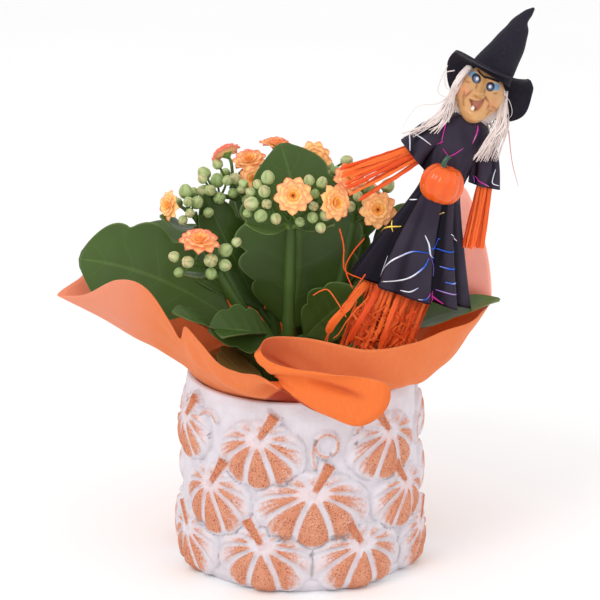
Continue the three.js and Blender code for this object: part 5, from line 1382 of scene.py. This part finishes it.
def hair_strand(knots, wide, red=0.0):
    """A flat strand along a curve through knots, twisted, and thinner towards its end."""
    path = curved(knots, 22)
    thin = wide * (1 - 0.75 * np.linspace(0, 1, 22) ** 2)
    fields = {"tone": draw.uniform(0, 1), "red": red}
    return (*bar(path, thin, 4, 0.5, draw.uniform(-3, 3)), fields)


def hair_lock(count, root, over, end, strays):
    """Strands that share a lock's three knots, each knot moved sideways by its stray and
    forward and up by less, with a slight wave put in between."""
    strands = []
    for _ in range(count):
        moved = [
            np.array(knot) + draw.uniform(-1, 1, 3) * [stray, min(0.25 * stray, 0.8), 0.5 * stray]
            for knot, stray in zip((root, over, end), strays)]
        wave = draw.uniform(-0.5, 0.5, 3)
        first, turn, last = moved
        knots = [first, (first + turn) / 2 + wave, turn, (turn + last) / 2 - wave, last]
        strands.append(hair_strand(knots, draw.uniform(0.4, 0.75)))
    return strands


def hair_cap(around=60, rows=30):
    """The glued cap behind the face: half an egg with fine upright ridges."""
    polar = np.linspace(0.06, 0.94, rows)[:, None] * math.pi
    azimuth = np.linspace(0, TURN, around, endpoint=False)
    ridge = 1 + 0.02 * np.cos(23 * azimuth + 2 * np.sin(3 * polar))
    x, y, z = on_egg(HAIR_CAP_HALF, polar, azimuth)
    place = leaned(x * ridge, y * ridge, z, HEAD_TILT) + HAIR_CAP_CENTRE
    return (*closed_skin(place), {"tone": 0.35})


doll_hair = Finish("doll_hair", Sheen_Weight=0.1, Specular_IOR_Level=0.3)
hair_streak = doll_hair.noise(900, 3, doll_hair.stretched(1, 1, 0.15))
hair_colour = doll_hair.mix(doll_hair.field("tone"), srgb(224, 206, 202), srgb(248, 236, 230))
hair_colour = doll_hair.mix(hair_streak * 0.3, hair_colour, srgb(204, 182, 176))
doll_hair.colour(doll_hair.mix(doll_hair.field("red"), hair_colour, srgb(196, 92, 92)))
doll_hair.rough(0.5 + hair_streak * 0.2).bump(hair_streak, 0.1)
locks = [strand for lock in HAIR_LOCKS for strand in hair_lock(*lock)]
strays = [hair_strand(knots, 0.28, 1.0 if number == 0 else 0.0) for number, knots in enumerate(STRAY_HAIRS)]
add_piece("doll_hair", [hair_cap(), *locks, *strays], doll_hair, "doll_hair", "witch_hair")


# Hat. A pointed hat of stiff black felt in one piece: a wide brim that runs straight out over
# the face and is bent down behind, drooping at the right, and a cone whose tip is bent over.
HAT_CENTRE = np.array([83, -18, 227.5])
HAT_ACROSS = np.array([0.92, 0, -0.39])
HAT_FORWARD = np.array([0.03, -0.99, 0.1])
HAT_BRIM_RADIUS = 20.5
HAT_BEND = math.radians(75)
HAT_BEND_LENGTH = 10
# How much the brim is lengthened behind, and how far back on it the bend begins
HAT_BACK_STRETCH = 1.3
HAT_BEND_START = 2.5
HAT_CONE = [
    [82, -18.2, 225.9], [88.2, -16.8, 236.0], [93, -15.6, 244.3], [95.6, -15, 249.6],
    [100.4, -14.3, 254.4],
]


def felt_hat():
    """The brim as rings of a disc over and back under. Behind a line across it the disc is
    rolled round an arc of HAT_BEND and then hangs straight, and it sags to the right; its cut
    edge is narrower in front than behind. The cone is rings that narrow along a bent line,
    dented in soft rolls towards the tip."""
    turn = np.linspace(0, TURN, 120, endpoint=False)
    up = -np.cross(HAT_ACROSS, HAT_FORWARD)
    radius = np.concatenate([
        np.linspace(2, HAT_BRIM_RADIUS - 0.3, 26), [HAT_BRIM_RADIUS, HAT_BRIM_RADIUS, HAT_BRIM_RADIUS - 0.3],
        np.linspace(HAT_BRIM_RADIUS - 1, 2, 20)])[:, None]
    lift = np.concatenate([np.full(26, 0.45), [0.25, -0.25, -0.45], np.full(20, -0.45)])[:, None]
    x, y = radius * np.cos(turn), radius * np.sin(turn)
    arc = HAT_BEND_LENGTH / HAT_BEND
    back = np.clip(-HAT_BACK_STRETCH * y - HAT_BEND_START, 0, None)
    bent = HAT_BEND * np.clip(back / HAT_BEND_LENGTH, 0, 1)
    straight = np.clip(back - HAT_BEND_LENGTH, 0, None)
    behind = arc * np.sin(bent) + straight * np.cos(bent) + lift * np.sin(bent)
    drop = arc * (1 - np.cos(bent)) + straight * np.sin(bent) - lift * np.cos(bent)
    sag = -0.006 * x**2 + back * x**2 * np.where(x > 0, 0.0016, 0.0006) - 0.06 * np.clip(y, 0, None)
    sag = sag - 0.3 * (radius / 20) ** 3 * np.sin(3 * turn + 1)
    cut = np.where(x > 0, 0.25 * ease(y, -5, 0), 0.11 * ease(y, -9, -2))
    grown = np.where(x > 0, 0.3, 0) * ease(-y, 3, 13)
    x = x * (1 - cut * (radius / HAT_BRIM_RADIUS) ** 2) * (1 + grown)
    forward = np.clip(y, -HAT_BEND_START / HAT_BACK_STRETCH, None) - behind
    brim = on_axes(HAT_CENTRE, (HAT_ACROSS, HAT_FORWARD, up), x, forward, -(drop + sag))
    along = np.linspace(0, 1, 60)
    path = curved(HAT_CONE, 60)
    way = unit(np.gradient(path, axis=0))
    aside = unit(np.cross(way, [0, 1, 0]))
    other = np.cross(way, aside)
    wide = np.interp(along, [0, 0.04, 0.5, 0.78, 0.9, 1], [10.2, 9.5, 5.4, 2.7, 1.8, 0.6])[:, None]
    wide = wide * (1 + 0.05 * along[:, None] * np.sin(22 * along[:, None] + 1.5 * np.sin(turn))
                   + 0.03 * np.cos(3 * turn + 9 * along[:, None]))
    cone = path[:, None] + wide[..., None] * (
        np.cos(turn)[:, None] * aside[:, None] + np.sin(turn)[:, None] * other[:, None])
    return [
        (*closed_skin(brim), {}),
        (*closed_skin(cone, path[0], path[-1] + way[-1] * 0.4), {})]


felt = Finish("black_felt", Sheen_Weight=0.08, Sheen_Roughness=0.5, Specular_IOR_Level=0.08)
felt_fluff = felt.noise(1100, 4)
felt_cloud = felt.noise(90, 3)
felt_black = felt.mix(felt_cloud, srgb(30, 28, 36), srgb(46, 42, 54))
felt.colour(felt.mix(felt.ease(felt_fluff, 0.55, 0.75) * 0.2, felt_black, srgb(80, 76, 88)))
felt.rough(0.85 + felt_fluff * 0.1).bump(felt_fluff + felt_cloud, 0.2)
add_piece("felt_hat", felt_hat(), felt, "hat_felt", "witch_hat")


# Raffia. Dyed orange raffia, split by hand into strips of uneven width. One bunch hangs out
# under the hem as the legs, its ends tangled; two tied bunches are the arms.
# Each end of a bunch is its middle and its two half axes
LEG_ENDS = [[46, -21, 137], [14.5, 0, -5], [0, 7, 0]], [[33, -27, 106.5], [16.5, 2, 0], [0, 6.5, 0]]
RIGHT_ARM_ENDS = [[80.9, -22, 181], [3.0, 0, 0], [0, 2.4, 0]], [[76, -22, 150], [4.9, 0, 0], [0, 3.2, 0]]
LEFT_ARM_ENDS = (
    [[53, -22, 194], [-2.0, 0, 3.0], [0, 1.7, 0]], [[21, -25.5, 179.4], [-5.8, 0, 7.0], [1.2, 2.4, 1.2]])
STRAY_STRIPS = [
    [[17.1, -33, 161.6], [18.9, -33, 154.0], [18.9, -33, 146.4], [20.2, -32, 141.8], [27.5, -30, 138.0]],
    [[27.9, -32.5, 157.1], [22.8, -33, 150.8], [19.8, -33, 143.7], [22.9, -33, 134.6]],
    [[28.5, -31, 140.6], [20.8, -34, 129.7], [13.3, -34, 116.1], [11.6, -34, 109.2]],
    [[26.0, -31, 134.0], [15.5, -34, 121.3], [10.7, -33.5, 110.4]],
    [[30.0, -33, 131], [21.5, -35, 122], [17.2, -35, 115], [14.5, -35, 112.5]],
    [[5.7, -34.5, 132.0], [9, -34.5, 134.0], [12.5, -34.5, 134.2], [17.3, -34.5, 127.2], [20.2, -34.5, 122]],
]
# Width and knots of each
BROAD_STRIPS = [
    [3.6, [[40, -20, 146], [34, -21, 138.5], [27, -27, 133], [20.5, -33, 126.5], [14.6, -34.5, 119.8],
           [12, -34, 114.7]]],
    [2.4, [[40, -22, 144], [35, -27, 134], [27, -34.5, 122], [21, -34.5, 111]]],
    [2.2, [[48, -22, 140], [43, -29, 130], [38, -34.5, 118], [35, -34, 107]]],
    [1.8, [[52, -22, 138], [50, -28, 128], [47, -34, 117], [45, -33.5, 108]]],
]


def raffia_strip(knots, wide, curl=0.6, count=16):
    """A flat strip along a curve through knots, twisted, with a wandering edge."""
    path = curved(knots, count)
    wander = draw.uniform(-1, 1, (count, 3)) * curl * 0.1
    radius = wide / 2 * draw.uniform(0.85, 1.15, count)
    radius[-1] *= 0.5
    # Painted shade: each strip is darker towards its start, deep in the bunch under the cloth.
    dark = np.repeat(np.linspace(1, 0, count)[:, None] ** 3, 4, 1)
    fields = {"tone": draw.uniform(0, 1), "dark": ring_field(dark, 1, 0)}
    return (*bar(path + wander, radius, 4, 0.2, draw.uniform(-1, 1) * 4 * curl), fields)


def raffia_bunch(ends, count, reach, stray, wide):
    """Strips from one ellipse to the other, each kept at about its own place across the bunch,
    bowed outwards and strayed at the knots between."""
    (top, top_a, top_b), (low, low_a, low_b) = np.array(ends, float)
    strips = []
    for _ in range(count):
        turn, share = draw.uniform(0, TURN), math.sqrt(draw.uniform(0, 1))
        start = top + share * (math.cos(turn) * top_a + math.sin(turn) * top_b)
        turn = turn + draw.uniform(-0.3, 0.3)
        finish = low + share * (math.cos(turn) * low_a + math.sin(turn) * low_b)
        finish = start + (finish - start) * draw.uniform(*reach)
        knots = [start + (finish - start) * step for step in (0, 0.3, 0.55, 0.8, 1)]
        bow = np.outer(np.array([0, 0.8, 1, 0.8, 0.5]), draw.uniform(-1, 1, 3) * stray)
        knots = np.array(knots) + bow + draw.uniform(-0.3, 0.3, (5, 3)) * stray
        strips.append(raffia_strip(knots, draw.uniform(*wide), stray))
    return strips


def tangled_strips(count):
    """Curly ends among the legs: each wanders sideways in loops as it drops."""
    strips = []
    for _ in range(count):
        start = np.array([draw.uniform(24, 50), draw.uniform(-33.5, -27), draw.uniform(112, 128)])
        steps = np.arange(6)[:, None]
        loops = np.hstack([
            2.6 * np.sin(1.9 * steps + draw.uniform(0, 6)), 0.8 * np.cos(2.3 * steps), -2.4 * steps])
        strips.append(raffia_strip(start + loops, draw.uniform(0.5, 1.0), 0.8, 22))
    return strips


raffia = Finish("dyed_raffia", Subsurface_Weight=0.15, Subsurface_Scale=0.001, Specular_IOR_Level=0.2)
raffia_grain = raffia.noise(700, 3, raffia.stretched(1, 1, 0.12))
raffia_colour = raffia.mix(raffia.field("tone"), srgb(222, 66, 16), srgb(248, 110, 40))
raffia_colour = raffia.mix(raffia_grain * 0.15, raffia_colour, srgb(252, 156, 96))
# Painted shade: the strips are darkened towards their starts.
raffia.colour(raffia.mix(raffia.field("dark") * 0.2, raffia_colour, srgb(170, 50, 22)))
raffia.rough(0.42 + raffia_grain * 0.2).bump(raffia_grain, 0.15)
legs = raffia_bunch(LEG_ENDS, 130, (0.82, 1.04), 1.2, (0.7, 2.0)) + tangled_strips(36)
legs += [raffia_strip(knots, 0.55, 0.2, 30) for knots in STRAY_STRIPS]
legs += [raffia_strip(knots, wide, 0.3, 24) for wide, knots in BROAD_STRIPS]
add_piece("raffia_legs", legs, raffia, "raffia", "witch_legs", smooth=False)
add_piece(
    "raffia_right_arm", raffia_bunch(RIGHT_ARM_ENDS, 60, (0.97, 1.01), 0.3, (0.8, 1.4)),
    raffia, "raffia", "witch_right_arm", smooth=False)
add_piece(
    "raffia_left_arm", raffia_bunch(LEFT_ARM_ENDS, 26, (0.75, 1.06), 0.5, (0.7, 2.2)),
    raffia, "raffia", "witch_left_arm", smooth=False)


# Toy pumpkin. A small glossy painted ball with nine ribs, glued to the gown at the waist, with
# a dark green stalk.
TOY_CENTRE = np.array([61, -35.6, 182])
TOY_RADIUS = 9.5
TOY_RIBS = 9
TOY_LEAN = math.radians(18)


def toy_pumpkin(around=144, rows=60):
    """A flattened ball with weak grooves between round ribs and a dimple at either end, its
    axis leaning to the right by TOY_LEAN."""
    polar = np.linspace(0.03, 0.97, rows)[:, None] * math.pi
    turn = np.linspace(0, TURN, around, endpoint=False)
    groove = np.abs(np.cos(TOY_RIBS * turn / 2)) ** 3
    radius = TOY_RADIUS * (1.01 - 0.06 * groove * np.sin(polar) ** 0.6)
    wide = radius * np.sin(polar) ** 0.8
    end = np.exp(-((np.sin(polar) / 0.35) ** 2))
    high = 0.93 * TOY_RADIUS * np.cos(polar) * (1 - 0.2 * end) * (1 - 0.03 * groove)
    x, y = wide * np.cos(turn), wide * np.sin(turn)
    rings = leaned(x, y, high, TOY_LEAN) + TOY_CENTRE
    fields = {"groove": ring_field(groove * np.sin(polar), 0, 0)}
    return (*closed_skin(rings), fields)


toy_paint = Finish("toy_paint", Coat_Weight=0.6, Coat_Roughness=0.05, Specular_IOR_Level=0.1)
paint_cloud = toy_paint.noise(120, 3)
toy_orange = toy_paint.mix(paint_cloud, srgb(222, 80, 20), srgb(234, 104, 34))
# Painted shade: the grooves between the ribs are a little darker.
toy_paint.colour(toy_paint.mix(toy_paint.field("groove") * 0.3, toy_orange, srgb(222, 66, 20)))
toy_paint.rough(0.22 + paint_cloud * 0.1).bump(paint_cloud, 0.25)
add_piece("toy_pumpkin_ball", [toy_pumpkin()], toy_paint, "toy_paint", "toy_pumpkin")

stalk_paint = Finish("stalk_paint", Coat_Weight=0.4, Coat_Roughness=0.15)
stalk_ridge = stalk_paint.noise(400, 3, stalk_paint.stretched(1, 1, 0.3))
stalk_paint.colour(stalk_paint.mix(stalk_ridge, srgb(14, 54, 36), srgb(32, 88, 60)))
stalk_paint.rough(0.3 + stalk_ridge * 0.2).bump(stalk_ridge, 0.15)
toy_stalk_path = curved([[61, -35, 187.4], [62, -34.5, 191.5], [64, -34.5, 194]], 16)
toy_stalk_girth = np.interp(np.linspace(0, 1, 16), [0, 0.15, 0.8, 1], [2.0, 1.5, 1.0, 1.2])
add_piece(
    "toy_pumpkin_stem", [(*bar(toy_stalk_path, toy_stalk_girth, 16), {})], stalk_paint, "stalk_paint",
    "toy_pumpkin_stalk")


# Stage, light and camera. A pale seamless floor, a soft white room, a large key light from
# the upper left, and the camera where the photograph was taken from.
def pale_floor():
    """A square of 6 metres, staged, so that it is no part of the object."""
    floor = Finish("pale_floor")
    floor.colour(floor.mix(floor.noise(3, 2), (0.93, 0.93, 0.93, 1), (0.97, 0.97, 0.97, 1))).rough(0.9)
    mesh = bpy.data.meshes.new("pale_floor")
    mesh.from_pydata([(-3, -3, 0), (3, -3, 0), (3, 3, 0), (-3, 3, 0)], [], [(0, 1, 2, 3)])
    mesh.materials.append(floor.material)
    ground = bpy.data.objects.new("pale_floor", mesh)
    bpy.context.scene.collection.objects.link(ground)


def aimed(item, place, target):
    """Puts a camera or a light at a place, looking at a target, both in metres."""
    bpy.context.scene.collection.objects.link(item)
    item.location = place
    way = Vector(target) - Vector(place)
    item.rotation_euler = way.to_track_quat("-Z", "Y").to_euler()
    return item


def soft_light(name, place, size, power):
    """A square lamp of a size in metres and a power in watts, aimed at the plant."""
    light = bpy.data.lights.new(name, "AREA")
    light.size = size
    light.energy = power
    aimed(bpy.data.objects.new(name, light), place, (0, 0, 0.12))


pale_floor()
room = bpy.data.worlds.new("soft_room")
room.use_nodes = True
room.node_tree.nodes["Background"].inputs["Color"].default_value = (1, 1, 1, 1)
room.node_tree.nodes["Background"].inputs["Strength"].default_value = 1.0
bpy.context.scene.world = room
soft_light("key_light", (-0.7, -0.9, 1.1), 0.6, 6)
soft_light("fill_light", (0.9, -0.6, 0.6), 0.8, 1.5)
lens = bpy.data.cameras.new("photo_camera")
lens.lens = 146.6
lens.sensor_width = 36
bpy.context.scene.view_settings.view_transform = "Standard"
camera = aimed(bpy.data.objects.new("photo_camera", lens), (0, -1.0574, 0.4232), (0, 0, 0.12))
bpy.context.scene.camera = camera
